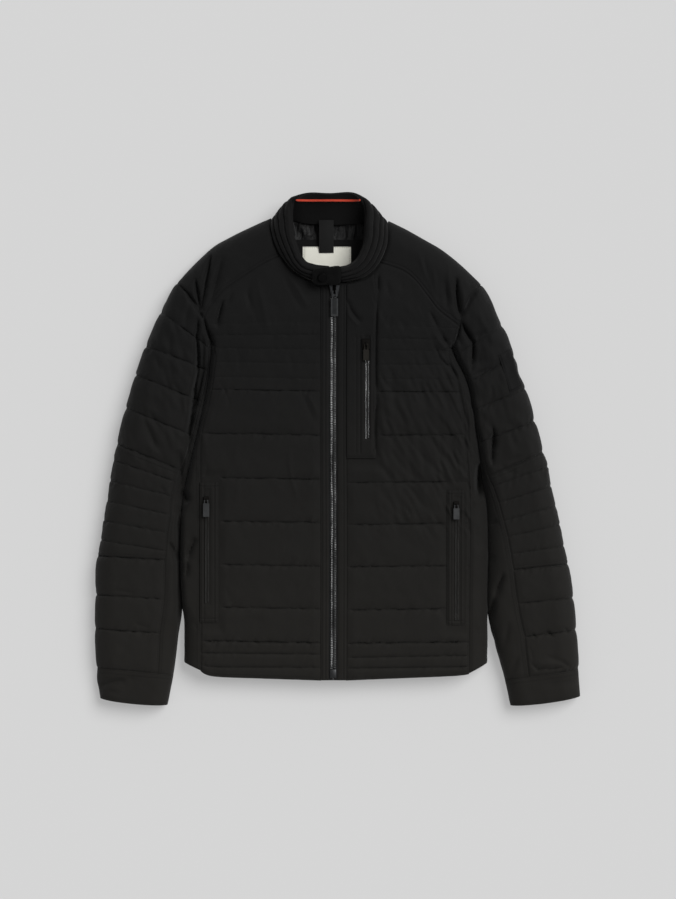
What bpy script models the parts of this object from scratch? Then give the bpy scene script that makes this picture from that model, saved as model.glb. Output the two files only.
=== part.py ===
"""A quilted jacket laid flat on its back, sleeves beside the body, zip closed up to the collar.

Tables are in millimetres: X to the wearer's left, Y towards the collar, Z up off the surface.
Left and right are the wearer's. The origin is under the middle of the jacket, on the surface.
"""

import collections
import math

import bmesh
import bpy
import numpy as np

MM = 0.001

# Cloth walls
WALL = 2.8  # padded cloth between two layers of shell
THIN = 1.2  # one folded layer, as on a guard strip or a welt
SEAM_GAP = 0.3  # each piece stops this short of its seam
MITRE = 0.6  # and its inner side this much shorter
LAY_GAP = 0.8  # what lies on a panel clears it by this

# The form of the filled-out garment
ROUND = 30.0  # width of the rounded side, seen from above
TUCK = 10.0  # how far the side curls in under the widest line
WIDEST = 0.36  # height of the widest line, as a share of the full height
CROWN = 0.08  # share of the height that is left for the slow rise towards the middle
CROWN_WIDTH = 80.0

# Quilting
PUFF = 4.0  # height of a wide channel over its stitch lines
NARROW_PUFF = 2.4
PUFF_PLACES = (0.0, 0.25, 0.75)  # rows in one channel

# Zip, seen across
CHAIN_HALF = 2.6
TAPE_HALF = 7.2
GUARD_OUTER = {"right": 20.3, "left": 17.2}

Height = collections.namedtuple("Height", "y top")
HEIGHTS = (
    Height(-400, 31),
    Height(-345, 34),
    Height(-250, 40),
    Height(-100, 44),
    Height(60, 46),
    Height(200, 45),
    Height(300, 40),
    Height(360, 34),
)

Spot = collections.namedtuple("Spot", "x y")

# From the side of the collar over the shoulder to the head of the sleeve
SHOULDER = {
    "right": (
        Spot(-100.5, 348), Spot(-133.5, 332), Spot(-163.5, 317), Spot(-186, 305), Spot(-207, 287),
        Spot(-225, 269), Spot(-241.5, 250),
    ),
    "left": (
        Spot(76, 344), Spot(99, 332), Spot(130.5, 313), Spot(156, 298.5), Spot(180, 281),
        Spot(198, 265), Spot(215, 248),
    ),
}

# Armhole seam from the head of the sleeve to the armpit; the yoke ends at the fourth or fifth spot
ARMHOLE = {
    "right": (
        Spot(-241.5, 250), Spot(-234, 243.5), Spot(-218.5, 224), Spot(-209.5, 209), Spot(-201, 194),
        Spot(-196.5, 184), Spot(-192, 169), Spot(-190.5, 157),
    ),
    "left": (
        Spot(215, 248), Spot(208.5, 242), Spot(195, 221), Spot(187, 203), Spot(181, 184),
        Spot(175.5, 169), Spot(171.8, 152),
    ),
}
YOKE_CORNER = {"right": Spot(-201, 194), "left": Spot(181, 184)}

# Yoke seam from the armhole to the collar
YOKE_SEAM = {
    "right": (
        Spot(-201, 194), Spot(-193.5, 211), Spot(-184.5, 222), Spot(-171.5, 237), Spot(-154, 250),
        Spot(-133.5, 264), Spot(-111, 278), Spot(-86, 290),
    ),
    "left": (
        Spot(181, 184), Spot(168, 194), Spot(153, 206), Spot(132.5, 232), Spot(117, 252),
        Spot(102, 265), Spot(80, 274), Spot(63, 279),
    ),
}

# Neckline from the shoulder fold down to the zip
NECK_SIDE = {
    "right": (Spot(-100.5, 348), Spot(-103, 338), Spot(-98.5, 318), Spot(-93, 304), Spot(-86, 290)),
    "left": (Spot(76, 344), Spot(76.5, 332), Spot(75, 311), Spot(70, 294), Spot(63, 279)),
}
NECK_FRONT = {
    "right": (Spot(-86, 290), Spot(-74, 275), Spot(-59.5, 263), Spot(-39.5, 253), Spot(-25.5, 249)),
    "left": (Spot(63, 279), Spot(55, 269), Spot(38, 256), Spot(24, 252.5), Spot(12, 250.5)),
}

# Fold of the body side and the seam of the side panel, from the armpit to the hem
BODY_FOLD = {
    "right": (
        Spot(-189.8, 153.5), Spot(-191.5, 118), Spot(-200, 70), Spot(-212, 19), Spot(-224, -35),
        Spot(-232.5, -74), Spot(-235.5, -128), Spot(-236, -188), Spot(-231.8, -245), Spot(-231, -320),
    ),
    "left": (
        Spot(170, 150.5), Spot(174.3, 139.5), Spot(193.8, 99.5), Spot(201.5, 58), Spot(209, 10),
        Spot(217, -43), Spot(223, -85), Spot(225, -137), Spot(224, -235), Spot(225, -286),
        Spot(224.2, -321),
    ),
}
SIDE_SEAM = {
    "right": (
        Spot(-187.8, 156), Spot(-184.5, 140), Spot(-186.5, 118), Spot(-194, 70), Spot(-205.5, 19),
        Spot(-207, -20), Spot(-205, -107), Spot(-206, -241), Spot(-206.2, -332),
    ),
    "left": (
        Spot(168, 151.8), Spot(167.5, 139), Spot(178.5, 107), Spot(187.5, 58), Spot(192, 2),
        Spot(196.5, -52), Spot(197.4, -107), Spot(196.5, -241), Spot(196.5, -336.8),
    ),
}

ZIP_LINE = (Spot(-5.2, 252), Spot(-4.5, -46), Spot(-6, -346))

# Quilt lines of each front: height on the page at the side and at the zip
Line = collections.namedtuple("Line", "side middle puff")
FRONT_LINES = {
    "right": (
        Line(188, 190, 0), Line(171, 172, NARROW_PUFF), Line(152, 150, NARROW_PUFF),
        Line(131, 129, NARROW_PUFF), Line(109, 106, NARROW_PUFF), Line(90, 87, NARROW_PUFF),
        Line(24, 21, PUFF), Line(-42, -45, PUFF), Line(-107, -110, PUFF), Line(-172, -175, PUFF),
        Line(-236, -239, PUFF), Line(-287, -290, PUFF), Line(-305, -307, NARROW_PUFF),
        Line(-322, -327, NARROW_PUFF), Line(-332, -346.5, NARROW_PUFF),
    ),
    "left": (
        Line(182, 188, 0), Line(164, 168, NARROW_PUFF), Line(148, 149, NARROW_PUFF),
        Line(127, 127, NARROW_PUFF), Line(105, 106, NARROW_PUFF), Line(86, 87, NARROW_PUFF),
        Line(22, 20, PUFF), Line(-48, -50, PUFF), Line(-111, -113, PUFF), Line(-174, -176, PUFF),
        Line(-238, -241, PUFF), Line(-289, -291, PUFF), Line(-309, -312, NARROW_PUFF),
        Line(-325, -328, NARROW_PUFF), Line(-336.8, -346.5, NARROW_PUFF),
    ),
}

# Sleeves: a row for each quilt line, from the armhole to the cuff's end. seam is where the quilted
# piece meets the under sleeve, as a share of the way from the outer fold to the inner one.
Row = collections.namedtuple("Row", "name outer_x outer_y inner_x inner_y seam puff")
SLEEVE = {
    "right": (
        Row("armhole", -241.5, 250, -190.5, 157, 0.97, 0),
        Row("line 1", -265.5, 206, -190.7, 151, 0.97, NARROW_PUFF),
        Row("line 2", -288, 155, -192.9, 118, 0.97, PUFF),
        Row("line 3", -303, 112, -201.4, 70, 0.97, PUFF),
        Row("line 4", -318, 62, -213.4, 19, 0.96, PUFF),
        Row("elbow top", -331.5, 8, -225.4, -35, 0.91, PUFF),
        Row("elbow 1", -336.8, -16, -229.6, -53, 0.89, NARROW_PUFF),
        Row("elbow 2", -342, -47, -233.8, -74, 0.87, NARROW_PUFF),
        Row("elbow 3", -346.5, -77, -235.5, -101, 0.86, NARROW_PUFF),
        Row("elbow 4", -351.8, -107, -236.8, -128, 0.84, NARROW_PUFF),
        Row("elbow 5", -355.5, -136, -237.3, -155, 0.83, NARROW_PUFF),
        Row("elbow bottom", -360.8, -160, -237.4, -167, 0.83, NARROW_PUFF),
        Row("forearm 1", -363, -218, -235.2, -226, 0.8, PUFF),
        Row("forearm 2", -364.5, -269, -239.8, -277, 0.78, PUFF),
        Row("cuff seam", -361.5, -328, -247.5, -338, 0.8, PUFF),
        Row("cuff end", -357.8, -374, -256.5, -384, 0.8, 0),
    ),
    "left": (
        Row("armhole", 215, 248, 171.8, 152, 0.97, 0),
        Row("line 1", 247.5, 187, 176.5, 141, 0.97, NARROW_PUFF),
        Row("line 2", 268.5, 139, 195, 100, 0.97, PUFF),
        Row("line 3", 285, 91, 202.8, 58, 0.97, PUFF),
        Row("line 4", 297, 43, 210.3, 10, 0.97, PUFF),
        Row("elbow top", 307.5, -4, 218.3, -43, 0.94, PUFF),
        Row("elbow 1", 315, -26, 220.7, -59, 0.89, NARROW_PUFF),
        Row("elbow 2", 319.5, -55, 224.3, -85, 0.84, NARROW_PUFF),
        Row("elbow 3", 327, -85, 225.5, -113, 0.79, NARROW_PUFF),
        Row("elbow 4", 333, -113, 226.3, -137, 0.75, NARROW_PUFF),
        Row("elbow 5", 339, -145, 226.1, -161, 0.72, NARROW_PUFF),
        Row("elbow bottom", 345, -172, 225.8, -184, 0.7, NARROW_PUFF),
        Row("forearm 1", 352.5, -223, 225.4, -235, 0.66, PUFF),
        Row("forearm 2", 357, -271, 235, -286, 0.64, PUFF),
        Row("cuff seam", 361.5, -331, 251, -346, 0.69, PUFF),
        Row("cuff end", 364.5, -371, 259.5, -384.8, 0.7, 0),
    ),
}
# First and last row of each piece along the sleeve
SLEEVE_PIECES = {
    "upper_sleeve": (0, 5), "elbow_panel": (5, 11), "forearm": (11, 14), "cuff": (14, 15),
}

# Collar: a row for each section, from the right front end round the back to the left front end.
# The seam is on the neckline, the top is the upper edge; a positive bow swells the outer side.
Section = collections.namedtuple("Section", "seam_x seam_y seam_z top_x top_y top_z")
COLLAR = (
    Section(-17, 249.5, 46, -13, 270, 63),
    Section(-39.5, 253, 46, -37, 273, 63),
    Section(-59.5, 263, 45, -49, 277, 62),
    Section(-74, 275, 44, -57, 287, 61),
    Section(-87, 291, 42, -63, 303, 59),
    Section(-98.5, 318, 36, -69, 322, 57),
    Section(-102, 336, 28, -71, 342, 54),
    Section(-99, 346, 18, -72, 361, 50),
    Section(-87, 352, 9.5, -69.5, 376, 45),
    Section(-53, 345, 5.5, -54, 384, 41),
    Section(-12, 342, 5.5, -12, 385.5, 40),
    Section(30, 344, 5.5, 28.5, 384, 41),
    Section(62, 347, 9.5, 41, 374, 45),
    Section(74, 342, 18, 44.5, 357, 50),
    Section(76, 330, 28, 43.5, 338, 54),
    Section(75, 311, 36, 42.5, 318, 57),
    Section(69, 292, 42, 37, 298, 59),
    Section(58, 273, 44, 29, 283, 61),
    Section(38, 256.5, 45, 16, 273, 62),
    Section(20, 252, 46, 7, 270, 63),
    Section(7, 250, 46, -2, 268, 63),
)
COLLAR_RIBS = 4
RIB = 1.6
COLLAR_BOW = 4.0
COLLAR_BACK = (8.6, 9, 10, 11, 11.4)  # the sections with piping on the inner collar
PIPING_SHARE = 0.79  # how far up the collar it is sewn on

# Neck inside
LINING = {"x": (-82, 54), "y": (236, 341), "z": 4.0}
LABEL = {"x": (-53, 19.5), "y": (270, 305.5)}
HANGER = {"x": -17.5, "width": 22.0, "y": (296, 345)}

# Pockets, as centre line, half width and the two ends
Box = collections.namedtuple("Box", "x0 y0 x1 y1")
HAND_WELT = {"right": Box(-206.5, -259, -178.5, -49), "left": Box(163.5, -262.5, 189.7, -60.5)}
HAND_ZIP = {"right": Spot(-197, -229), "left": Spot(177, -255)}
CHEST_PANEL_EDGE = ((58.5, 276), (57.8, 240), (56.5, 120), (56.2, -13))
CHEST_ZIP = Spot(42, 17)
PATCH_ROWS = (1.72, 2.92)  # along the left sleeve, in rows of its table
PATCH_ACROSS = (0.06, 0.30)

# Hardware
Pull = collections.namedtuple("Pull", "x y slider_width slider_top slider_length neck width length")
PULLS = {
    "main": Pull(-5.2, 237, 10, 15.6, 18, 11, 11, 38.7),
    "chest": Pull(42, 157.5, 12, 13, 16, 8.2, 8.8, 25.4),
    "hand_right": Pull(-197, -76, 8, 8, 12, 4.4, 9.6, 25.6),
    "hand_left": Pull(177, -83.4, 8, 8, 12, 4.4, 9.3, 21.8),
}
STUD = {"x": -23.2, "y": 256, "radius": 7.0, "height": 2.6}
TAB_PIN = 1.4  # thickness of a pull tab and of its crossbar
BRIDGE_INNER = 1.5
BRIDGE_THICK = 1.3
BRIDGE_WIDTH = 2.2
EYE_WIDTH = 3.6
NECK_WIDTH = 6.8

# Slot: colour, roughness, metallic
MATERIALS = {
    "shell": ((0.012, 0.0115, 0.0115), 0.75, 0.0),
    "shell_plain": ((0.011, 0.0105, 0.0105), 0.78, 0.0),
    "lining": ((0.022, 0.021, 0.023), 0.45, 0.0),
    "piping": ((0.55, 0.07, 0.03), 0.6, 0.0),
    "label": ((0.72, 0.69, 0.60), 0.6, 0.0),
    "loop": ((0.006, 0.006, 0.006), 0.8, 0.0),
    "zip_tape": ((0.010, 0.010, 0.010), 0.85, 0.0),
    "zip_metal": ((0.12, 0.125, 0.13), 0.35, 1.0),
    "dark_metal": ((0.035, 0.036, 0.038), 0.4, 1.0),
    "patch": ((0.008, 0.008, 0.009), 0.3, 0.0),
}


# ---------- lines and form ----------


class Path:
    """A smooth line through marked spots, read by its share of length or by its height on the page."""

    def __init__(self, spots, steps=8):
        marks = np.array(spots, float)
        gaps = np.linalg.norm(np.diff(marks, axis=0), axis=1)
        slopes = np.diff(marks, axis=0) / gaps[:, None]
        way = np.empty_like(marks)
        way[0] = slopes[0]
        way[-1] = slopes[-1]
        for i in range(1, len(marks) - 1):
            way[i] = (slopes[i] * gaps[i - 1] + slopes[i - 1] * gaps[i]) / (gaps[i - 1] + gaps[i])
        line = [marks[0]]
        for i, gap in enumerate(gaps):
            for t in np.arange(1, steps + 1) / steps:
                line.append(
                    (2 * t**3 - 3 * t**2 + 1) * marks[i]
                    + (t**3 - 2 * t**2 + t) * gap * way[i]
                    + (3 * t**2 - 2 * t**3) * marks[i + 1]
                    + (t**3 - t**2) * gap * way[i + 1]
                )
        self.line = np.array(line)
        run = np.concatenate([[0.0], np.cumsum(np.linalg.norm(np.diff(self.line, axis=0), axis=1))])
        self.length = run[-1]
        self.run = run / run[-1]
        self.marks = self.run[::steps]

    def at(self, share):
        return np.array([np.interp(share, self.run, self.line[:, k]) for k in range(self.line.shape[1])])

    def x_at(self, y):
        order = np.argsort(self.line[:, 1])
        return float(np.interp(y, self.line[order, 1], self.line[order, 0]))

    def y_at(self, x):
        order = np.argsort(self.line[:, 0])
        return float(np.interp(x, self.line[order, 0], self.line[order, 1]))

    def share_of(self, spot):
        return float(self.run[np.argmin(np.linalg.norm(self.line - np.array(spot, float), axis=1))])

    def across(self, share, side):
        """The level direction square to the line, towards the given side (+1 is to +X)."""
        step = self.at(min(share + 0.004, 1.0)) - self.at(max(share - 0.004, 0.0))
        square = np.array([step[1], -step[0]]) / np.hypot(*step)
        return square if square[0] * side > 0 else -square


SIGN = {"right": -1.0, "left": 1.0}
SIDES = ("right", "left")


def sleeve_spots(side, end):
    return [(getattr(row, end + "_x"), getattr(row, end + "_y")) for row in SLEEVE[side]]


SILHOUETTE = {side: Path(list(SHOULDER[side]) + sleeve_spots(side, "outer")[1:]) for side in SIDES}
SLEEVE_FOLD = {side: Path(sleeve_spots(side, "inner")) for side in SIDES}
BODY_EDGE = {side: Path(BODY_FOLD[side]) for side in SIDES}
SEAM = {side: Path(SIDE_SEAM[side]) for side in SIDES}
ARM = {side: Path(ARMHOLE[side]) for side in SIDES}
YOKE = {side: Path(YOKE_SEAM[side]) for side in SIDES}
NECK = {side: Path(NECK_SIDE[side]) for side in SIDES}
FRONT_NECK = {side: Path(NECK_FRONT[side]) for side in SIDES}
ZIP = Path(ZIP_LINE)

FOLDS = [paths[side].line for paths in (SILHOUETTE, SLEEVE_FOLD, BODY_EDGE) for side in SIDES]
FOLD_START = np.concatenate([line[:-1] for line in FOLDS])
FOLD_STEP = np.concatenate([np.diff(line, axis=0) for line in FOLDS])
FOLD_SQUARE = (FOLD_STEP**2).sum(axis=1)


def full_height(y):
    return float(np.interp(y, [h.y for h in HEIGHTS], [h.top for h in HEIGHTS]))


def to_fold(x, y):
    """Distance from a spot to the nearest fold, and the level direction towards it."""
    spot = np.array([x, y])
    share = ((spot - FOLD_START) * FOLD_STEP).sum(axis=1) / FOLD_SQUARE
    nearest = FOLD_START + np.clip(share, 0, 1)[:, None] * FOLD_STEP
    away = nearest - spot
    distance = np.hypot(away[:, 0], away[:, 1])
    best = int(np.argmin(distance))
    return float(distance[best]), away[best] / max(distance[best], 1e-9)


def top_skin(x, y, out=None):
    """Place and outward direction of the upper cloth at a spot; out is the way out where it is a fold."""
    distance, way = to_fold(x, y)
    if distance < 0.05 and out is not None:
        way = out
    top = full_height(y)
    rise = top * (1 - WIDEST)
    near = min(max(distance, 0.05) / ROUND, 1.0)
    curve = math.sqrt(1 - (1 - near) ** 2)
    slow = min(distance / CROWN_WIDTH, 1.0)
    height = top - rise + rise * ((1 - CROWN) * curve + CROWN * slow)
    slope = rise * (1 - CROWN) * (1 - near) / (ROUND * curve)
    outward = np.array([way[0] * slope, way[1] * slope, 1.0])
    return np.array([x, y, height]), outward / np.linalg.norm(outward)


def side_skin(spot, out, turn):
    """Place and outward direction on the curl from a fold (turn 0) down to the surface (turn 1)."""
    angle = turn * math.pi / 2
    widest = full_height(spot[1]) * WIDEST
    level = np.array(spot) - np.array(out) * TUCK * (1 - math.cos(angle))
    place = np.array([level[0], level[1], widest * (1 - math.sin(angle))])
    outward = np.array(
        [out[0] * math.cos(angle) / TUCK, out[1] * math.cos(angle) / TUCK, -math.sin(angle) / widest]
    )
    return place, outward / np.linalg.norm(outward)


def swell(share):
    """Height of a quilted channel across its width, from 0 at one stitch line to 0 at the next."""
    return 1 - abs(2 * share - 1) ** 2.6


def fade(share, width):
    return min(1.0, share / width) ** 0.7


# ---------- building ----------


def clear_scene():
    for obj in list(bpy.data.objects):
        bpy.data.objects.remove(obj, do_unlink=True)


def make_material(name):
    colour, roughness, metallic = MATERIALS[name]
    material = bpy.data.materials.new(name)
    material.use_nodes = True
    shader = material.node_tree.nodes["Principled BSDF"]
    shader.inputs["Base Color"].default_value = (*colour, 1.0)
    shader.inputs["Roughness"].default_value = roughness
    shader.inputs["Metallic"].default_value = metallic
    return material


clear_scene()
JACKET = bpy.data.collections.new("quilted_jacket")
CUTTERS = bpy.data.collections.new("cutters")
bpy.context.scene.collection.children.link(JACKET)
bpy.context.scene.collection.children.link(CUTTERS)
LOOKS = {name: make_material(name) for name in MATERIALS}


def add_object(name, mesh, slot, collection=None):
    obj = bpy.data.objects.new(name, mesh)
    mesh.materials.append(LOOKS[slot])
    (collection or JACKET).objects.link(obj)
    return obj


def pulled_in(points, gap):
    """The grid with its border rows and columns moved inwards by the gap."""
    moved = points.copy()
    for edge, inner in ((0, 1), (-1, -2)):
        step = points[inner] - points[edge]
        far = np.maximum(np.linalg.norm(step, axis=1, keepdims=True), 1e-6)
        moved[edge] = moved[edge] + step / far * np.minimum(gap, 0.4 * far)
    for edge, inner in ((0, 1), (-1, -2)):
        step = points[:, inner] - points[:, edge]
        far = np.maximum(np.linalg.norm(step, axis=1, keepdims=True), 1e-6)
        moved[:, edge] = moved[:, edge] + step / far * np.minimum(gap, 0.4 * far)
    return moved


def wall(name, skin, slot, raised=0.0, low=-WALL, gap=SEAM_GAP, mitre=MITRE):
    """A closed wall from a grid of (place, outward): its inner side at low, its outer side at raised."""
    place = np.array([[spot[0] for spot in row] for row in skin])
    outward = np.array([[spot[1] for spot in row] for row in skin])
    high = np.broadcast_to(np.asarray(raised, float), place.shape[:2])[..., None]
    deep = np.broadcast_to(np.asarray(low, float), place.shape[:2])[..., None]
    outer = pulled_in(place + outward * high, gap)
    inner = pulled_in(place + outward * deep, gap + mitre)
    rows, columns = place.shape[:2]
    bm = bmesh.new()
    skins = []
    for points in (outer, inner):
        skins.append([[bm.verts.new(points[i, j] * MM) for j in range(columns)] for i in range(rows)])
    for side, verts in enumerate(skins):
        for i in range(rows - 1):
            for j in range(columns - 1):
                corners = (verts[i][j], verts[i][j + 1], verts[i + 1][j + 1], verts[i + 1][j])
                bm.faces.new(corners if side == 0 else corners[::-1])
    border = [(0, j) for j in range(columns)] + [(i, columns - 1) for i in range(1, rows)]
    border += [(rows - 1, j) for j in range(columns - 2, -1, -1)] + [(i, 0) for i in range(rows - 2, 0, -1)]
    for (a, b), (c, d) in zip(border, border[1:] + border[:1]):
        bm.faces.new((skins[0][c][d], skins[0][a][b], skins[1][a][b], skins[1][c][d]))
    bmesh.ops.recalc_face_normals(bm, faces=bm.faces)
    mesh = bpy.data.meshes.new(name)
    bm.to_mesh(mesh)
    bm.free()
    if signed_volume(mesh) < 0:
        mesh.flip_normals()
    mesh.shade_smooth()
    return add_object(name, mesh, slot)


def signed_volume(mesh):
    mesh.calc_loop_triangles()
    total = 0.0
    for triangle in mesh.loop_triangles:
        a, b, c = (mesh.vertices[i].co for i in triangle.vertices)
        total += a.dot(b.cross(c))
    return total


# ---------- body ----------


def quilt_rows(lines):
    """Rows of one quilted piece as (line index, share of the way to the next line, swell)."""
    rows = [(0, 0.0, 0.0)]
    for i in range(len(lines) - 1):
        for share in PUFF_PLACES:
            if (i, share) != (0, 0.0):
                rows.append((i, share, swell(share) * lines[i + 1].puff))
    rows.append((len(lines) - 1, 0.0, 0.0))
    return rows


def guard_line(side, y):
    return ZIP.x_at(y) + SIGN[side] * GUARD_OUTER[side]


def front_edge(side, y):
    """Side border of a front at a height on the page: the armhole, then the side seam."""
    armpit = SEAM[side].line[0][1]
    return (ARM if y > armpit else SEAM)[side].x_at(y)


# Columns across each front, denser where a welt or the chest panel ends
FRONT_COLUMNS = {
    "right": (0.0, 0.05, 0.165, 0.23, 0.42, 0.62, 0.82, 0.93, 1.0),
    "left": (0.0, 0.04, 0.19, 0.25, 0.42, 0.6, 0.7, 0.76, 0.93, 1.0),
}


OVERLAY_MARGIN = 9.0
ROW_REACH = 27.0  # the swelling stops this far above and below what lies on a front


def under_overlay(side, x, y):
    """1 where nothing lies on the front, 0 below a welt or the chest panel."""
    welt = HAND_WELT[side]
    beside = max(welt.x0 - x, x - welt.x1, welt.y0 - y - ROW_REACH, y - welt.y1 - ROW_REACH)
    if side == "left":
        low_end = CHEST_PANEL_EDGE[-1][1]
        beside = min(beside, max(x - CHEST_PANEL_EDGE[-1][0], low_end - y - ROW_REACH))
    return min(max((beside - 1.0) / OVERLAY_MARGIN, 0.0), 1.0)


def build_front(side):
    lines = FRONT_LINES[side]
    top = np.array(list(YOKE[side].line) + list(FRONT_NECK[side].line[1:]))
    order = np.argsort(top[:, 0])
    first = lines[0]
    corner = YOKE_CORNER[side]
    skin, raised = [], []
    inner_top = guard_line(side, 249)
    for share in (0.0, 0.3, 0.65):
        row = []
        for column in FRONT_COLUMNS[side]:
            x = corner.x + (inner_top - corner.x) * column
            upper = float(np.interp(x, top[order, 0], top[order, 1]))
            lower = first.side + (first.middle - first.side) * column
            y = upper + (lower - upper) * share
            if column == 0.0:
                x = front_edge(side, y)
            row.append(top_skin(x, y))
        skin.append(row)
        raised.append([0.0] * len(FRONT_COLUMNS[side]))
    for i, share, puff in quilt_rows(lines):
        here, after = lines[i], lines[min(i + 1, len(lines) - 1)]
        side_y = here.side + (after.side - here.side) * share
        middle_y = here.middle + (after.middle - here.middle) * share
        x0 = front_edge(side, side_y)
        x1 = guard_line(side, middle_y)
        row, lift = [], []
        for column in FRONT_COLUMNS[side]:
            x = x0 + (x1 - x0) * column
            y = side_y + (middle_y - side_y) * column
            row.append(top_skin(x, y))
            ends = fade(column, 0.08) * fade(1 - column, 0.1)
            lift.append(puff * ends * under_overlay(side, x, y))
        skin.append(row)
        raised.append(lift)
    wall("front_" + side, skin, "shell", raised)


def build_yoke(side):
    shoulder = Path(SHOULDER[side][::-1])
    arm = ARM[side]
    corner = arm.share_of(YOKE_CORNER[side])
    far, near = shoulder.at(0), shoulder.at(1)
    far_low, near_low = YOKE[side].at(0), YOKE[side].at(1)
    columns = np.linspace(0, 1, 9)
    skin = []
    for turn in (1.0, 0.66, 0.33):
        skin.append([side_skin(shoulder.at(u), outward_of_shoulder(shoulder, u), turn) for u in columns])
    for v in (0.0, 0.06, 0.18, 0.38, 0.68, 1.0):
        row = []
        for u in columns:
            ruled = (1 - v) * shoulder.at(u) + v * YOKE[side].at(u)
            ruled = ruled + (1 - u) * arm.at(v * corner) + u * NECK[side].at(v)
            ruled = ruled - (1 - u) * (1 - v) * far - u * (1 - v) * near
            spot = ruled - (1 - u) * v * far_low - u * v * near_low
            row.append(top_skin(spot[0], spot[1], outward_of_shoulder(shoulder, u)))
        skin.append(row)
    wall("yoke_" + side, skin, "shell_plain", gap=0.6)


def outward_of_shoulder(shoulder, share):
    step = shoulder.at(min(share + 0.01, 1.0)) - shoulder.at(max(share - 0.01, 0.0))
    square = np.array([-step[1], step[0]]) / np.hypot(*step)
    return square if square[1] > 0 else -square


def build_side(side):
    skin = []
    rows = [line.side for line in FRONT_LINES[side][2:-1]]
    seam, fold = SEAM[side], BODY_EDGE[side]
    shares = [0.02] + [seam.run[np.argmin(abs(seam.line[:, 1] - y))] for y in rows] + [1.0]
    shares = sorted(set(round(float(share), 4) for share in shares))
    shares = [share for i, share in enumerate(shares) if i == 0 or share - shares[i - 1] > 0.01]
    shares = [share for share in shares if share >= 0.02]
    for share in shares:
        edge = fold.at(share)
        out = fold.across(share, SIGN[side])
        row = [side_skin(edge, out, turn) for turn in (1.0, 0.66, 0.33, 0.0)]
        for part in (0.3, 0.65, 1.0):
            spot = edge + (seam.at(share) - edge) * part
            row.append(top_skin(spot[0], spot[1], out))
        skin.append(row)
    wall("side_" + side, skin, "shell_plain", gap=0.8)


def floor_border(side):
    """Border of the back on the surface, from the hem up to the neck, clear of the curled sides."""
    fold = BODY_EDGE[side]
    spots = [fold.at(s) - fold.across(s, SIGN[side]) * (TUCK + 1.5) for s in np.linspace(1.0, 0.0, 9)]
    arm = ARM[side]
    spots += [arm.at(s) for s in (0.92, 0.75, 0.55, 0.35, 0.15)]
    shoulder = Path(SHOULDER[side][::-1])
    spots += [shoulder.at(s) - outward_of_shoulder(shoulder, s) * TUCK for s in (0.03, 0.25, 0.5, 0.75, 0.97)]
    return Path(spots, steps=1)


HEM_DROP = 17.0  # the hem of the back bows down this far between the sides


def build_back():
    borders = {side: floor_border(side) for side in SIDES}
    skin = []
    for i in range(len(borders["right"].line)):
        right, left = borders["right"].line[i], borders["left"].line[i]
        row = []
        drop = HEM_DROP * max(0.0, 1 - i / 2)
        for part in (0.0, 0.15, 0.5, 0.85, 1.0):
            spot = right + (left - right) * part
            low = spot[1] - drop * math.sin(math.pi * part) ** 0.6
            row.append((np.array([spot[0], low, 0.0]), np.array([0.0, 0.0, -1.0])))
        skin.append(row)
    wall("back", skin, "shell_plain")


# ---------- sleeves ----------


def sleeve_row(side, at):
    """Outer and inner fold of a sleeve at a row number, which may lie between two rows, and the bow."""
    rows = np.arange(len(SLEEVE[side]))
    outer, inner = SILHOUETTE[side], SLEEVE_FOLD[side]
    first = len(SHOULDER[side]) - 1
    outer_share = float(np.interp(at, rows, outer.marks[first:]))
    inner_share = float(np.interp(at, rows, inner.marks))
    return outer, outer_share, inner, inner_share, max(0.0, 1.0 - at)


def sleeve_spot(side, at, around):
    """Cloth of a sleeve: around runs from -1 (surface, outer) over 0 and 1 (folds) to 2 and 3 (surface)."""
    outer, outer_share, inner, inner_share, bow = sleeve_row(side, at)
    a, b = outer.at(outer_share), inner.at(inner_share)
    out_a = outer.across(outer_share, SIGN[side])
    out_b = inner.across(inner_share, -SIGN[side])
    if around < 0:
        return side_skin(a, out_a, -around)
    if 1 < around <= 2:
        return side_skin(b, out_b, around - 1)
    if around <= 1:
        spot = a + (b - a) * around
        spot = spot + bow * armhole_bow(side, around)
        return top_skin(spot[0], spot[1], out_a if around < 0.5 else out_b)
    start, end = b - out_b * TUCK, a - out_a * TUCK
    spot = start + (end - start) * (around - 2) + bow * armhole_bow(side, 3 - around)
    return np.array([spot[0], spot[1], 0.0]), np.array([0.0, 0.0, -1.0])


def armhole_bow(side, share):
    arm = ARM[side]
    straight = arm.at(0) + (arm.at(1) - arm.at(0)) * share
    return arm.at(share) - straight


TOP_COLUMNS = (0.0, 0.05, 0.14, 0.28, 0.46, 0.64, 0.82, 0.94, 1.0)


def build_sleeve_piece(name, side):
    first, last = SLEEVE_PIECES[name]
    table = SLEEVE[side]
    quilted = name != "cuff"
    rows = quilt_rows(table[first : last + 1]) if quilted else [(0, 0, 0), (0, 0.5, 0), (1, 0, 0)]
    skin, raised = [], []
    for i, share, puff in rows:
        at = first + i + share
        seam = float(np.interp(at, range(len(table)), [row.seam for row in table]))
        arounds = [-1.0, -0.66, -0.33] + [column * seam for column in TOP_COLUMNS]
        skin.append([sleeve_spot(side, at, around) for around in arounds])
        lift = [0.0, 0.35 * puff, 0.8 * puff]
        lift += [puff * (0.85 if c == 0 else 1.0) * fade(1 - c, 0.16) for c in TOP_COLUMNS]
        raised.append(lift)
    wall(name + "_" + side, skin, "shell" if quilted else "shell_plain", raised)


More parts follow.
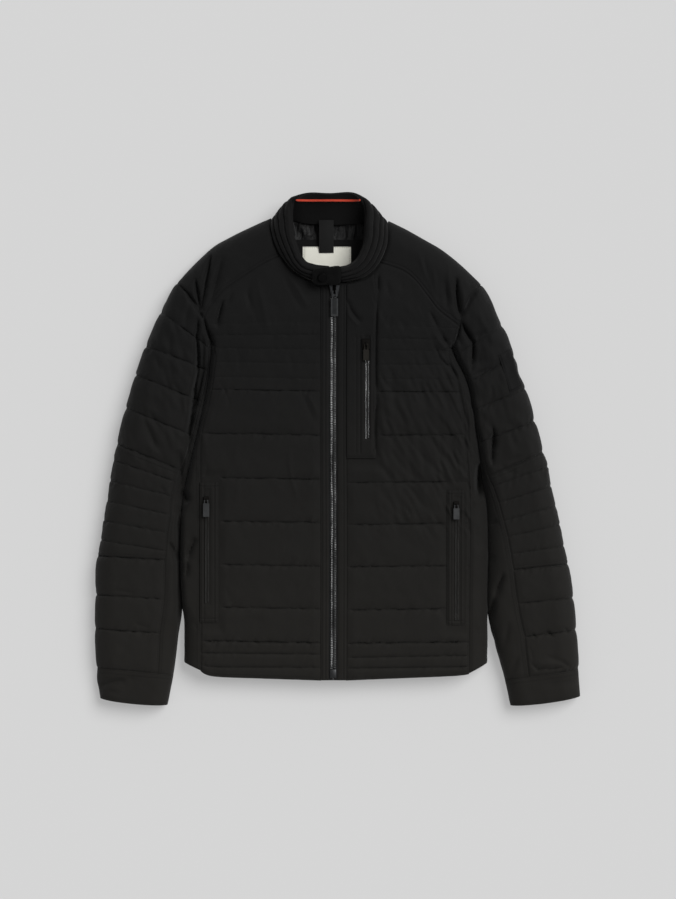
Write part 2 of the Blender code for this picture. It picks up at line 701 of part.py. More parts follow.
def build_under_sleeve(side):
    table = SLEEVE[side]
    skin = []
    for at in (0, 0.25, 0.75, 1, 1.25, 1.75, *range(2, len(table))):
        seam = float(np.interp(at, range(len(table)), [row.seam for row in table]))
        arounds = [seam, (seam + 1) / 2, 1.0, 1.33, 1.66, 2.0, 2.35, 2.7, 3.0]
        skin.append([sleeve_spot(side, at, around) for around in arounds])
    wall("under_sleeve_" + side, skin, "shell_plain", gap=1.0)


def build_patch():
    """Bare patch on the outer side of the left sleeve."""
    table = SLEEVE["left"]
    skin, raised = [], []
    for at in np.linspace(*PATCH_ROWS, 7):
        row, lift = [], []
        puff = swell(at % 1) * table[int(at) + 1].puff
        for around in np.linspace(*PATCH_ACROSS, 5):
            row.append(sleeve_spot("left", at, around * table[2].seam))
            lift.append(puff + LAY_GAP)
        skin.append(row)
        raised.append(lift)
    low = np.array(raised)
    wall("sleeve_patch", skin, "patch", low + 0.8, low, 0.0, 0.0)


# ---------- collar and neck ----------


def collar_skin(sections, steps, low_share=0.0):
    """Grid along the collar (rows) and up from its seam (columns), with the outward direction."""
    seam = Path([section[:3] for section in COLLAR])
    top = Path([section[3:] for section in COLLAR])
    rows = []
    for at in sections:
        numbers = range(len(COLLAR))
        low = seam.at(float(np.interp(at, numbers, seam.marks)))
        high = top.at(float(np.interp(at, numbers, top.marks)))
        ahead = top.at(min(float(np.interp(at + 0.5, numbers, top.marks)), 1.0))
        behind = top.at(max(float(np.interp(at - 0.5, numbers, top.marks)), 0.0))
        outward = np.cross(high - low, ahead - behind)
        outward = outward / np.linalg.norm(outward)
        row = []
        for step in np.linspace(low_share, 1.0, steps):
            bow = COLLAR_BOW * math.sin(math.pi * step)
            row.append((low + (high - low) * step + outward * bow, outward))
        rows.append(row)
    return rows


def build_collar():
    steps = COLLAR_RIBS * 3 + 1
    sections = range(len(COLLAR))
    skin = collar_skin(sections, steps)
    ribs = [RIB * swell((j % 3) / 3.0) if j % 3 else 0.0 for j in range(steps)]
    raised = np.array([ribs] * len(skin))
    wall("collar_outer", skin, "shell", raised, low=-2.6, mitre=0.2)
    inner = collar_skin(sections, 7, 0.08)
    wall("collar_inner", inner, "shell_plain", -4.4, low=-6.6, mitre=0.2)


def build_piping():
    """The cord sewn along the inner collar, at the back of the neck."""
    rows = collar_skin(COLLAR_BACK, 2, PIPING_SHARE)
    spots = [row[0][0] - row[0][1] * 8.6 for row in rows]
    tube("collar_piping", spots, 1.0, "piping")


def tube(name, spots, radius, slot):
    curve = bpy.data.curves.new(name, "CURVE")
    curve.dimensions = "3D"
    curve.bevel_depth = radius * MM
    curve.bevel_resolution = 1
    curve.use_fill_caps = True
    spline = curve.splines.new("POLY")
    spline.points.add(len(spots) - 1)
    for point, spot in zip(spline.points, spots):
        point.co = (*(np.array(spot) * MM), 1.0)
    return add_object(name, curve, slot)


def flat_sheet(name, xs, ys, height, thick, slot):
    """A level sheet over the given columns and rows; height is a function of x and y."""
    skin = [[(np.array([x, y, height(x, y)]), np.array([0.0, 0.0, 1.0])) for x in xs] for y in ys]
    wall(name, skin, slot, thick, 0.0, 0.0, 0.0)


def lining_height(x, y):
    """The lining lies on the back and climbs a little towards the neckline at its sides."""
    middle = (LINING["x"][0] + LINING["x"][1]) / 2
    reach = abs(x - middle) / 68.0
    return LINING["z"] + 7.0 * max(0.0, reach - 0.55) ** 1.5


def build_neck():
    xs = np.linspace(*LINING["x"], 13)
    ys = np.linspace(*LINING["y"], 7)
    flat_sheet("neck_lining", xs, ys, lining_height, THIN, "lining")
    xs = np.linspace(*LABEL["x"], 5)
    ys = np.linspace(*LABEL["y"], 4)
    flat_sheet("label", xs, ys, lambda x, y: lining_height(x, y) + THIN + 0.8, 0.8, "label")
    half = HANGER["width"] / 2
    xs = (HANGER["x"] - half, HANGER["x"] + half)
    low, high = HANGER["y"]
    ys = np.linspace(low, high, 6)

    def loop_height(x, y):
        share = (y - low) / (high - low)
        return lining_height(x, y) + THIN + 2.4 + 4.0 * math.sin(math.pi * share) + 8.5 * share**3

    flat_sheet("hanger_loop", xs, ys, loop_height, 1.0, "loop")


TAB_LOW = 56.5  # height of the collar tab's lower edge, and its rise up the collar
TAB_RISE = 11.0


def build_collar_tab():
    """The tab that crosses over the zip at the foot of the collar, and the stud on it."""
    outward = np.array([0.0, -0.4, 0.92])
    skin = []
    for row, y in enumerate(np.linspace(246, 271, 5)):
        height = TAB_LOW + TAB_RISE * (row / 4.0)
        slant = 1.5 * row / 40
        skin.append([(np.array([x, y + slant * (x + 18), height]), outward) for x in np.linspace(-38, 5, 6)])
    wall("collar_tab", skin, "shell_plain", 2.0, 0.0, 0.0, 0.0)


# ---------- zip, guards and pockets ----------


def strip(name, line, offsets, ys, slot, raised, low, gap=SEAM_GAP):
    """A wall along the front from offsets either side of a line, read at each height on the page."""
    skin = [[top_skin(line(y) + offset, y) for offset in offsets] for y in ys]
    wall(name, skin, slot, raised, low, gap, 0.0)


def build_zip():
    ys = np.linspace(249.0, -346.0, 25)
    for side in SIDES:
        sign = SIGN[side]
        across = [sign * v for v in np.linspace(TAPE_HALF + 0.2, GUARD_OUTER[side], 3)]
        strip("zip_guard_" + side, ZIP.x_at, across, ys, "shell_plain", 1.2, -1.6)
        tape = [sign * (CHAIN_HALF + 0.4), sign * TAPE_HALF]
        strip("zip_tape_" + side, ZIP.x_at, tape, ys, "zip_tape", -0.4, -1.6)
    chain = [-CHAIN_HALF, CHAIN_HALF]
    strip("zip_chain", ZIP.x_at, chain, np.linspace(246.0, -343.0, 25), "zip_metal", 0.9, -1.6, 0.0)


def chest_edge(y):
    spots = sorted(CHEST_PANEL_EDGE, key=lambda spot: spot[1])
    return float(np.interp(y, [s[1] for s in spots], [s[0] for s in spots]))


def build_chest():
    neck = FRONT_NECK["left"]
    skin = []
    for share in np.linspace(0.0, 1.0, 13):
        row = []
        for part in (0.0, 0.35, 0.7, 1.0):
            inner_x = guard_line("left", 240) + 1.0
            x_top = inner_x + (54.0 - inner_x) * part
            y_top = neck.y_at(x_top) - 4.0
            y = y_top + (CHEST_PANEL_EDGE[-1][1] - y_top) * share
            x = guard_line("left", y) + 1.0
            outer = min(chest_edge(y), 54.0 + 40.0 * share)
            x = x + (outer - x) * part
            row.append(top_skin(x, y))
        skin.append(row)
    wall("chest_panel", skin, "shell_plain", LAY_GAP + THIN + 0.4, LAY_GAP, 0.0, 0.0)
    lift = LAY_GAP + THIN + 0.4
    ys = np.linspace(148, CHEST_ZIP.y, 8)
    strip("chest_zip_chain", lambda y: CHEST_ZIP.x, (-3.4, 3.4), ys, "zip_metal", lift + 1.4, lift + 0.4, 0.0)


def build_hand_pocket(side):
    """The stitched frame of a hand pocket and the zip on it."""
    welt = HAND_WELT[side]
    zip_x = HAND_ZIP[side].x
    columns = (welt.x0, zip_x - 4.6, zip_x, zip_x + 4.6, welt.x1)
    skin = [[top_skin(x, y) for x in columns] for y in np.linspace(welt.y1, welt.y0, 13)]
    wall("hand_welt_" + side, skin, "shell_plain", LAY_GAP + THIN, LAY_GAP, 0.0, 0.0)
    lift = LAY_GAP + THIN
    ys = np.linspace(PULLS["hand_" + side].y - 8, HAND_ZIP[side].y, 9)
    strip(
        "hand_zip_chain_" + side, lambda y: zip_x, (-3.0, 3.0), ys, "zip_tape", lift + 1.4, lift + 0.4, 0.0
    )


# ---------- hardware ----------


def box(name, size, centre, slot, collection=None, bevel=0.0):
    bm = bmesh.new()
    bmesh.ops.create_cube(bm, size=1.0)
    bmesh.ops.scale(bm, vec=[v * MM for v in size], verts=bm.verts)
    if bevel:
        bmesh.ops.bevel(
            bm, geom=bm.edges[:], offset=bevel * MM, segments=1, affect="EDGES", profile=0.5
        )
    mesh = bpy.data.meshes.new(name)
    bm.to_mesh(mesh)
    bm.free()
    obj = add_object(name, mesh, slot, collection)
    obj.location = [v * MM for v in centre]
    return obj


def helper(name, size, centre, bevel=0.0):
    obj = box(name, size, centre, "dark_metal", CUTTERS, bevel)
    obj.hide_render = True
    obj.display_type = "WIRE"
    return obj


def boolean(obj, other, operation):
    modifier = obj.modifiers.new(operation.lower() + " " + other.name, "BOOLEAN")
    modifier.operation = operation
    modifier.solver = "EXACT"
    modifier.object = other


def build_pull(name, base, metal):
    """A slider whose bridge holds the crossbar of a pull tab; the crossbar is the hinge."""
    pull = PULLS[name]
    plate = 2.6
    axis = base + plate + BRIDGE_INNER + 0.1
    slider = box(
        name + "_slider", (pull.slider_width, pull.slider_length, plate),
        (pull.x, pull.y, base + plate / 2), metal, bevel=0.7,
    )
    for vertex in slider.data.vertices:
        if vertex.co.y > 0:
            vertex.co.x *= pull.slider_top / pull.slider_width
    reach = BRIDGE_INNER + BRIDGE_THICK
    bridge = helper(
        name + "_bridge", (BRIDGE_WIDTH, 2 * reach, reach + plate * 0.6 + BRIDGE_INNER),
        (pull.x, pull.y, axis + (reach - plate * 0.6 - BRIDGE_INNER) / 2), 0.5,
    )
    eye = helper(
        name + "_bridge_eye", (BRIDGE_WIDTH * 2, 2 * BRIDGE_INNER, 2 * BRIDGE_INNER), (pull.x, pull.y, axis)
    )
    boolean(bridge, eye, "DIFFERENCE")
    boolean(slider, bridge, "UNION")
    hinge = bpy.data.objects.new(name + "_hinge", None)
    JACKET.objects.link(hinge)
    hinge.location = (pull.x * MM, pull.y * MM, axis * MM)
    top, low = TAB_PIN / 2, TAB_PIN / 2 - pull.length
    tab = box(
        name + "_pull_tab", (pull.width, -pull.neck - low, TAB_PIN),
        (0.0, (low - pull.neck) / 2, 0.0), metal, bevel=0.3,
    )
    tab.parent = hinge
    neck_size = (NECK_WIDTH, top + pull.neck + 1.0, TAB_PIN)
    neck = helper(name + "_tab_neck", neck_size, (0.0, (top - pull.neck - 1.0) / 2, 0.0), 0.2)
    hole_size = (EYE_WIDTH, pull.neck - top, TAB_PIN * 3)
    hole = helper(name + "_tab_eye", hole_size, (0.0, -(pull.neck + top) / 2, 0.0))
    for part, operation in ((neck, "UNION"), (hole, "DIFFERENCE")):
        part.parent = hinge
        boolean(tab, part, operation)


def build_stud():
    bm = bmesh.new()
    bmesh.ops.create_cone(
        bm, cap_ends=True, segments=32, radius1=STUD["radius"] * MM, radius2=(STUD["radius"] - 1.2) * MM,
        depth=STUD["height"] * MM,
    )
    mesh = bpy.data.meshes.new("press_stud")
    bm.to_mesh(mesh)
    bm.free()
    stud = add_object("press_stud", mesh, "dark_metal")
    stud.location = (STUD["x"] * MM, STUD["y"] * MM, 65.2 * MM)
    stud.rotation_euler = (math.radians(23.5), 0.0, 0.0)


def top_height(x, y):
    return top_skin(x, y)[0][2]


def build_hardware():
    main = PULLS["main"]
    build_pull("main", top_height(main.x, main.y) + 1.6, "dark_metal")
    chest = PULLS["chest"]
    build_pull("chest", top_height(chest.x, chest.y) + LAY_GAP + THIN + 0.9, "dark_metal")
    for side in SIDES:
        pull = PULLS["hand_" + side]
        build_pull("hand_" + side, top_height(pull.x, pull.y) + LAY_GAP + THIN + 0.9, "dark_metal")


def build():
    build_back()
    for side in SIDES:
        build_yoke(side)
        build_front(side)
        build_side(side)
        for name in SLEEVE_PIECES:
            build_sleeve_piece(name, side)
        build_under_sleeve(side)
        build_hand_pocket(side)
    build_collar()
    build_piping()
    build_neck()
    build_collar_tab()
    build_stud()
    build_zip()
    build_chest()
    build_patch()
    build_hardware()


build()
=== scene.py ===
"""The looks of a quilted jacket laid flat on its back, sleeves beside the body, zip closed.

Tables are in millimetres, as the jacket was cut: X to the wearer's left, Y towards the collar, Z up
off the surface. Left and right are the wearer's. Everything is turned into metres when it is made.
"""

import collections
import math

import bpy
import numpy as np
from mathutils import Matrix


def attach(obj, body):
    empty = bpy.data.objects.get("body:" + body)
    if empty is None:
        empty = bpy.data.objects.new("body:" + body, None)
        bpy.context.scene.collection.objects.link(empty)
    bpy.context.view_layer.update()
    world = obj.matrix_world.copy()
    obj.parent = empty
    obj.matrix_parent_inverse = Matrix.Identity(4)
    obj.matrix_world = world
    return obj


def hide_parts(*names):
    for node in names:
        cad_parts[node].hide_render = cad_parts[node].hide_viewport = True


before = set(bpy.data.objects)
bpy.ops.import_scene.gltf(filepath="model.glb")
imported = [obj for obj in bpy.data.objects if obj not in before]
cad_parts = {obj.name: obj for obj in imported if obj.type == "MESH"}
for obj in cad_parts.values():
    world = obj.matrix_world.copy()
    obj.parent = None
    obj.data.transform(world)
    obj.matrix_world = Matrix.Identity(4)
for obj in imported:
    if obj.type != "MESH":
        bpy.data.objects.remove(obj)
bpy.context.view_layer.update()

MM = 0.001
SIGN = {"right": -1.0, "left": 1.0}
SIDES = ("right", "left")

# Cloth
WALL = 2.8  # padded cloth between two layers of shell
THIN = 1.2  # one folded layer, as on a guard strip or a welt
THINNEST = 1.0  # no wall gets thinner than this under a hollow
SEAM_GAP = 0.02  # each piece stops this short of its seam
MITRE = 0.3  # and its inner side this much shorter still
LAY_GAP = 0.8  # what lies on a panel clears it by this
FINE = 2.0  # spacing of the points of a piece that shows
COARSE = 8.0  # and of one that rests on the surface

# The form of the filled-out garment
ROUND = 30.0  # width of the rounded side, seen from above
PRESSED_ROUND = 8.0  # and where the sleeve is pressed to the body
PRESSED_FROM = {"right": (-265, -230), "left": (-90, 40)}  # from the first height to the second
TUCK = 10.0  # how far the side curls in under the widest line
HOLLOW = 1.5  # what is deeper than this goes straight down
DEEPER = 1.6  # and is deepened by this factor
LOWEST = 3.5  # to no lower than this
WIDEST = 0.36  # height of the widest line, as a share of the full height
CROWN = 0.08  # share of the height left for the slow rise towards the middle
CROWN_WIDTH = 80.0  # how far in from a fold that rise ends

# Quilting
PUFF = 1.9  # height of a wide channel over its stitch lines
NARROW_PUFF = 1.0  # of the elbow's channels
CHEST_PUFF = 0.5  # of the narrow channels over the chest, which are nearly flat
HEM_PUFF = 1.7  # of the narrow channels above the hem

# Zip: how far its tape and the guards beside it reach from its middle
TAPE_HALF = 6.6
GUARD_OUTER = {"right": 18.0, "left": 19.4}

# Full height of the filled-out garment, by the height on the page
HEIGHTS = (
    (-400, 31), (-345, 34), (-250, 40), (-100, 44), (60, 46), (200, 45), (300, 40), (360, 34),
)

Spot = collections.namedtuple("Spot", "x y")

# From the side of the collar over the shoulder to the head of the sleeve
SHOULDER = {
    "right": (
        (-100.5, 348), (-133.5, 332), (-163.5, 317), (-186, 305), (-207, 287), (-225, 269),
        (-241.5, 250),
    ),
    "left": (
        (76, 344), (99, 332), (130.5, 313), (156, 298.5), (180, 281), (198, 265), (215, 248),
    ),
}

# Armhole seam from the head of the sleeve to the armpit; the yoke ends at its fifth spot
ARMHOLE = {
    "right": (
        (-241.5, 250), (-234, 243.5), (-218.5, 224), (-209.5, 209), (-201, 194), (-196.5, 184),
        (-192, 169), (-190.5, 157),
    ),
    "left": (
        (215, 248), (208.5, 242), (195, 221), (187, 203), (181, 184), (175.5, 169), (171.8, 152),
    ),
}
YOKE_CORNER = {"right": Spot(-201, 194), "left": Spot(181, 184)}

# Yoke seam from the armhole to the collar
YOKE_SEAM = {
    "right": (
        (-201, 194), (-193.5, 211), (-184.5, 222), (-171.5, 237), (-154, 250), (-133.5, 264),
        (-111, 278), (-86, 290),
    ),
    "left": (
        (181, 184), (168, 194), (153, 206), (132.5, 232), (117, 252), (102, 265), (80, 274), (63, 279),
    ),
}

# Neckline from the shoulder fold down to the zip
NECK_SIDE = {
    "right": (
        (-100.5, 348), (-103, 338), (-98.5, 318), (-93, 304), (-86, 290),
    ),
    "left": (
        (76, 344), (76.5, 332), (75, 311), (70, 294), (63, 279),
    ),
}
NECK_FRONT = {
    "right": (
        (-86, 290), (-74, 275), (-59.5, 263), (-39.5, 253), (-25.5, 249),
    ),
    "left": (
        (63, 279), (55, 269), (38, 256), (24, 252.5), (12, 250.5),
    ),
}

# Fold of the body side and the seam of the side panel, from the armpit to the hem
BODY_FOLD = {
    "right": (
        (-189.8, 153.5), (-191.5, 118), (-200, 70), (-212, 19), (-224, -35), (-232.5, -74),
        (-235.5, -128), (-236, -188), (-231.8, -245), (-231, -320),
    ),
    "left": (
        (170, 150.5), (174.3, 139.5), (193.8, 99.5), (201.5, 58), (209, 10), (217, -43), (223, -85),
        (225, -137), (224, -235), (225, -286), (224.2, -321),
    ),
}
SIDE_SEAM = {
    "right": (
        (-187.8, 156), (-184.5, 140), (-186.5, 118), (-194, 70), (-205.5, 19), (-207, -20),
        (-205, -107), (-206, -241), (-206.2, -332),
    ),
    "left": (
        (168, 151.8), (167.5, 139), (178.5, 107), (187.5, 58), (192, 2), (196.5, -52), (197.4, -107),
        (196.5, -241), (196.5, -336.8),
    ),
}

ZIP_LINE = ((-7.0, 252), (-7.6, 60), (-6.9, -130), (-7.4, -348))

# Quilt lines of each front: height on the page at the side and at the zip
Line = collections.namedtuple("Line", "side middle puff")
FRONT_LINES = {
    "right": (
        Line(188, 190, 0), Line(171, 172, CHEST_PUFF), Line(152, 150, CHEST_PUFF),
        Line(131, 129, CHEST_PUFF), Line(109, 106, CHEST_PUFF), Line(90, 87, CHEST_PUFF),
        Line(24, 21, PUFF), Line(-42, -45, PUFF), Line(-107, -110, PUFF), Line(-172, -175, PUFF),
        Line(-236, -239, PUFF), Line(-287, -290, PUFF), Line(-305, -307, HEM_PUFF),
        Line(-322, -327, HEM_PUFF), Line(-332, -346.5, HEM_PUFF),
    ),
    "left": (
        Line(182, 188, 0), Line(164, 168, CHEST_PUFF), Line(148, 149, CHEST_PUFF),
        Line(127, 127, CHEST_PUFF), Line(105, 106, CHEST_PUFF), Line(86, 87, CHEST_PUFF),
        Line(22, 20, PUFF), Line(-48, -50, PUFF), Line(-111, -113, PUFF), Line(-174, -176, PUFF),
        Line(-238, -241, PUFF), Line(-289, -291, PUFF), Line(-309, -312, HEM_PUFF),
        Line(-325, -328, HEM_PUFF), Line(-336.8, -346.5, HEM_PUFF),
    ),
}

# Sleeves: a row for each quilt line, from the armhole to the cuff's end. seam is where the quilted
# piece meets the under sleeve, as a share of the way from the outer fold to the inner one.
Row = collections.namedtuple("Row", "name outer_x outer_y inner_x inner_y seam puff")
SLEEVE = {
    "right": (
        Row("armhole", -241.5, 250, -190.5, 157, 0.97, 0),
        Row("line 1", -265.5, 206, -190.7, 151, 0.97, NARROW_PUFF),
        Row("line 2", -288, 155, -192.9, 118, 0.97, PUFF),
        Row("line 3", -303, 112, -201.4, 70, 0.97, PUFF),
        Row("line 4", -318, 62, -213.4, 19, 0.96, PUFF),
        Row("elbow top", -331.5, 8, -225.4, -35, 0.91, PUFF),
        Row("elbow 1", -336.8, -16, -229.6, -53, 0.89, NARROW_PUFF),
        Row("elbow 2", -342, -47, -233.8, -74, 0.87, NARROW_PUFF),
        Row("elbow 3", -346.5, -77, -235.5, -101, 0.86, NARROW_PUFF),
        Row("elbow 4", -351.8, -107, -236.8, -128, 0.84, NARROW_PUFF),
        Row("elbow 5", -355.5, -136, -237.3, -155, 0.83, NARROW_PUFF),
        Row("elbow bottom", -360.8, -160, -237.4, -167, 0.83, NARROW_PUFF),
        Row("forearm 1", -363, -218, -235.2, -226, 0.8, PUFF),
        Row("forearm 2", -364.5, -269, -239.8, -277, 0.78, PUFF),
        Row("cuff seam", -361.5, -328, -247.5, -338, 0.8, PUFF),
        Row("cuff end", -357.8, -374, -256.5, -384, 0.8, 0),
    ),
    "left": (
        Row("armhole", 215, 248, 171.8, 152, 0.97, 0),
        Row("line 1", 247.5, 187, 176.5, 141, 0.97, NARROW_PUFF),
        Row("line 2", 264.5, 139, 195, 100, 0.97, PUFF),
        Row("line 3", 281, 91, 202.8, 58, 0.97, PUFF),
        Row("line 4", 297, 43, 210.3, 10, 0.97, PUFF),
        Row("elbow top", 307.5, -4, 218.3, -43, 0.94, PUFF),
        Row("elbow 1", 315, -26, 220.7, -59, 0.89, NARROW_PUFF),
        Row("elbow 2", 319.5, -55, 224.3, -85, 0.84, NARROW_PUFF),
        Row("elbow 3", 327, -85, 225.5, -113, 0.79, NARROW_PUFF),
        Row("elbow 4", 333, -113, 226.3, -137, 0.75, NARROW_PUFF),
        Row("elbow 5", 339, -145, 226.1, -161, 0.72, NARROW_PUFF),
        Row("elbow bottom", 345, -172, 225.8, -184, 0.7, NARROW_PUFF),
        Row("forearm 1", 352.5, -223, 225.4, -235, 0.66, PUFF),
        Row("forearm 2", 357, -271, 235, -286, 0.64, PUFF),
        Row("cuff seam", 361.5, -331, 251, -346, 0.69, PUFF),
        Row("cuff end", 364.5, -371, 259.5, -384.8, 0.7, 0),
    ),
}
# First and last row of each piece along the sleeve
SLEEVE_PIECES = {
    "upper_sleeve": (0, 5), "elbow_panel": (5, 11), "forearm": (11, 14), "cuff": (14, 15),
}

# Collar: a row for each section, from the right front end round the back to the left front end,
# as x, y and z on the neckline seam and x, y and z on the upper edge
COLLAR = (
    (-17, 249.5, 46, -13, 270, 63), (-39.5, 253, 46, -37, 273, 63), (-59.5, 263, 45, -49, 277, 62),
    (-74, 275, 44, -57, 287, 61), (-87, 291, 42, -63, 303, 59), (-98.5, 318, 36, -69, 322, 57),
    (-102, 336, 28, -71, 342, 54), (-99, 346, 18, -72, 361, 50), (-87, 352, 9.5, -69.5, 376, 45),
    (-53, 345, 5.5, -54, 384, 41), (-12, 342, 5.5, -12, 385.5, 40), (30, 344, 5.5, 28.5, 384, 41),
    (62, 347, 9.5, 41, 374, 45), (74, 342, 18, 44.5, 357, 50), (76, 330, 28, 43.5, 338, 54),
    (75, 311, 36, 42.5, 318, 57), (69, 292, 42, 37, 298, 59), (58, 273, 44, 29, 283, 61),
    (38, 256.5, 45, 16, 273, 62), (20, 252, 46, 7, 270, 63), (7, 250, 46, -2, 268, 63),
)
COLLAR_RIBS = 4
RIB = 1.6  # height of a rib
COLLAR_BOW = 4.0  # how far the outer side swells
COLLAR_BACK = (8.6, 11.4)  # the sections with piping on the inner collar
PIPING_SHARE = 0.79  # how far up the collar it is sewn on

# Neck inside
LINING = {"x": (-82, 54), "y": (236, 341), "z": 4.0}
LABEL = {"x": (-53, 19.5), "y": (270, 305.5)}
HANGER = {"x": -17.5, "width": 22.0, "y": (296, 345)}

# Pockets: the box of each welt, and the zip's line and lower end
Box = collections.namedtuple("Box", "x0 y0 x1 y1")
HAND_WELT = {"right": Box(-206.5, -259, -178.5, -49), "left": Box(163.5, -262.5, 189.7, -60.5)}
HAND_ZIP = {"right": Spot(-197, -229), "left": Spot(177, -255)}
CHEST_PANEL_EDGE = ((58.5, 276), (57.8, 240), (56.5, 120), (56.2, -13))
CHEST_ZIP = Spot(42, 17)
PATCH_ROWS = (1.72, 2.92)  # along the left sleeve, in rows of its table
PATCH_ACROSS = (0.06, 0.30)

HAND_SLIDER_Y = {"right": -76, "left": -83.4}

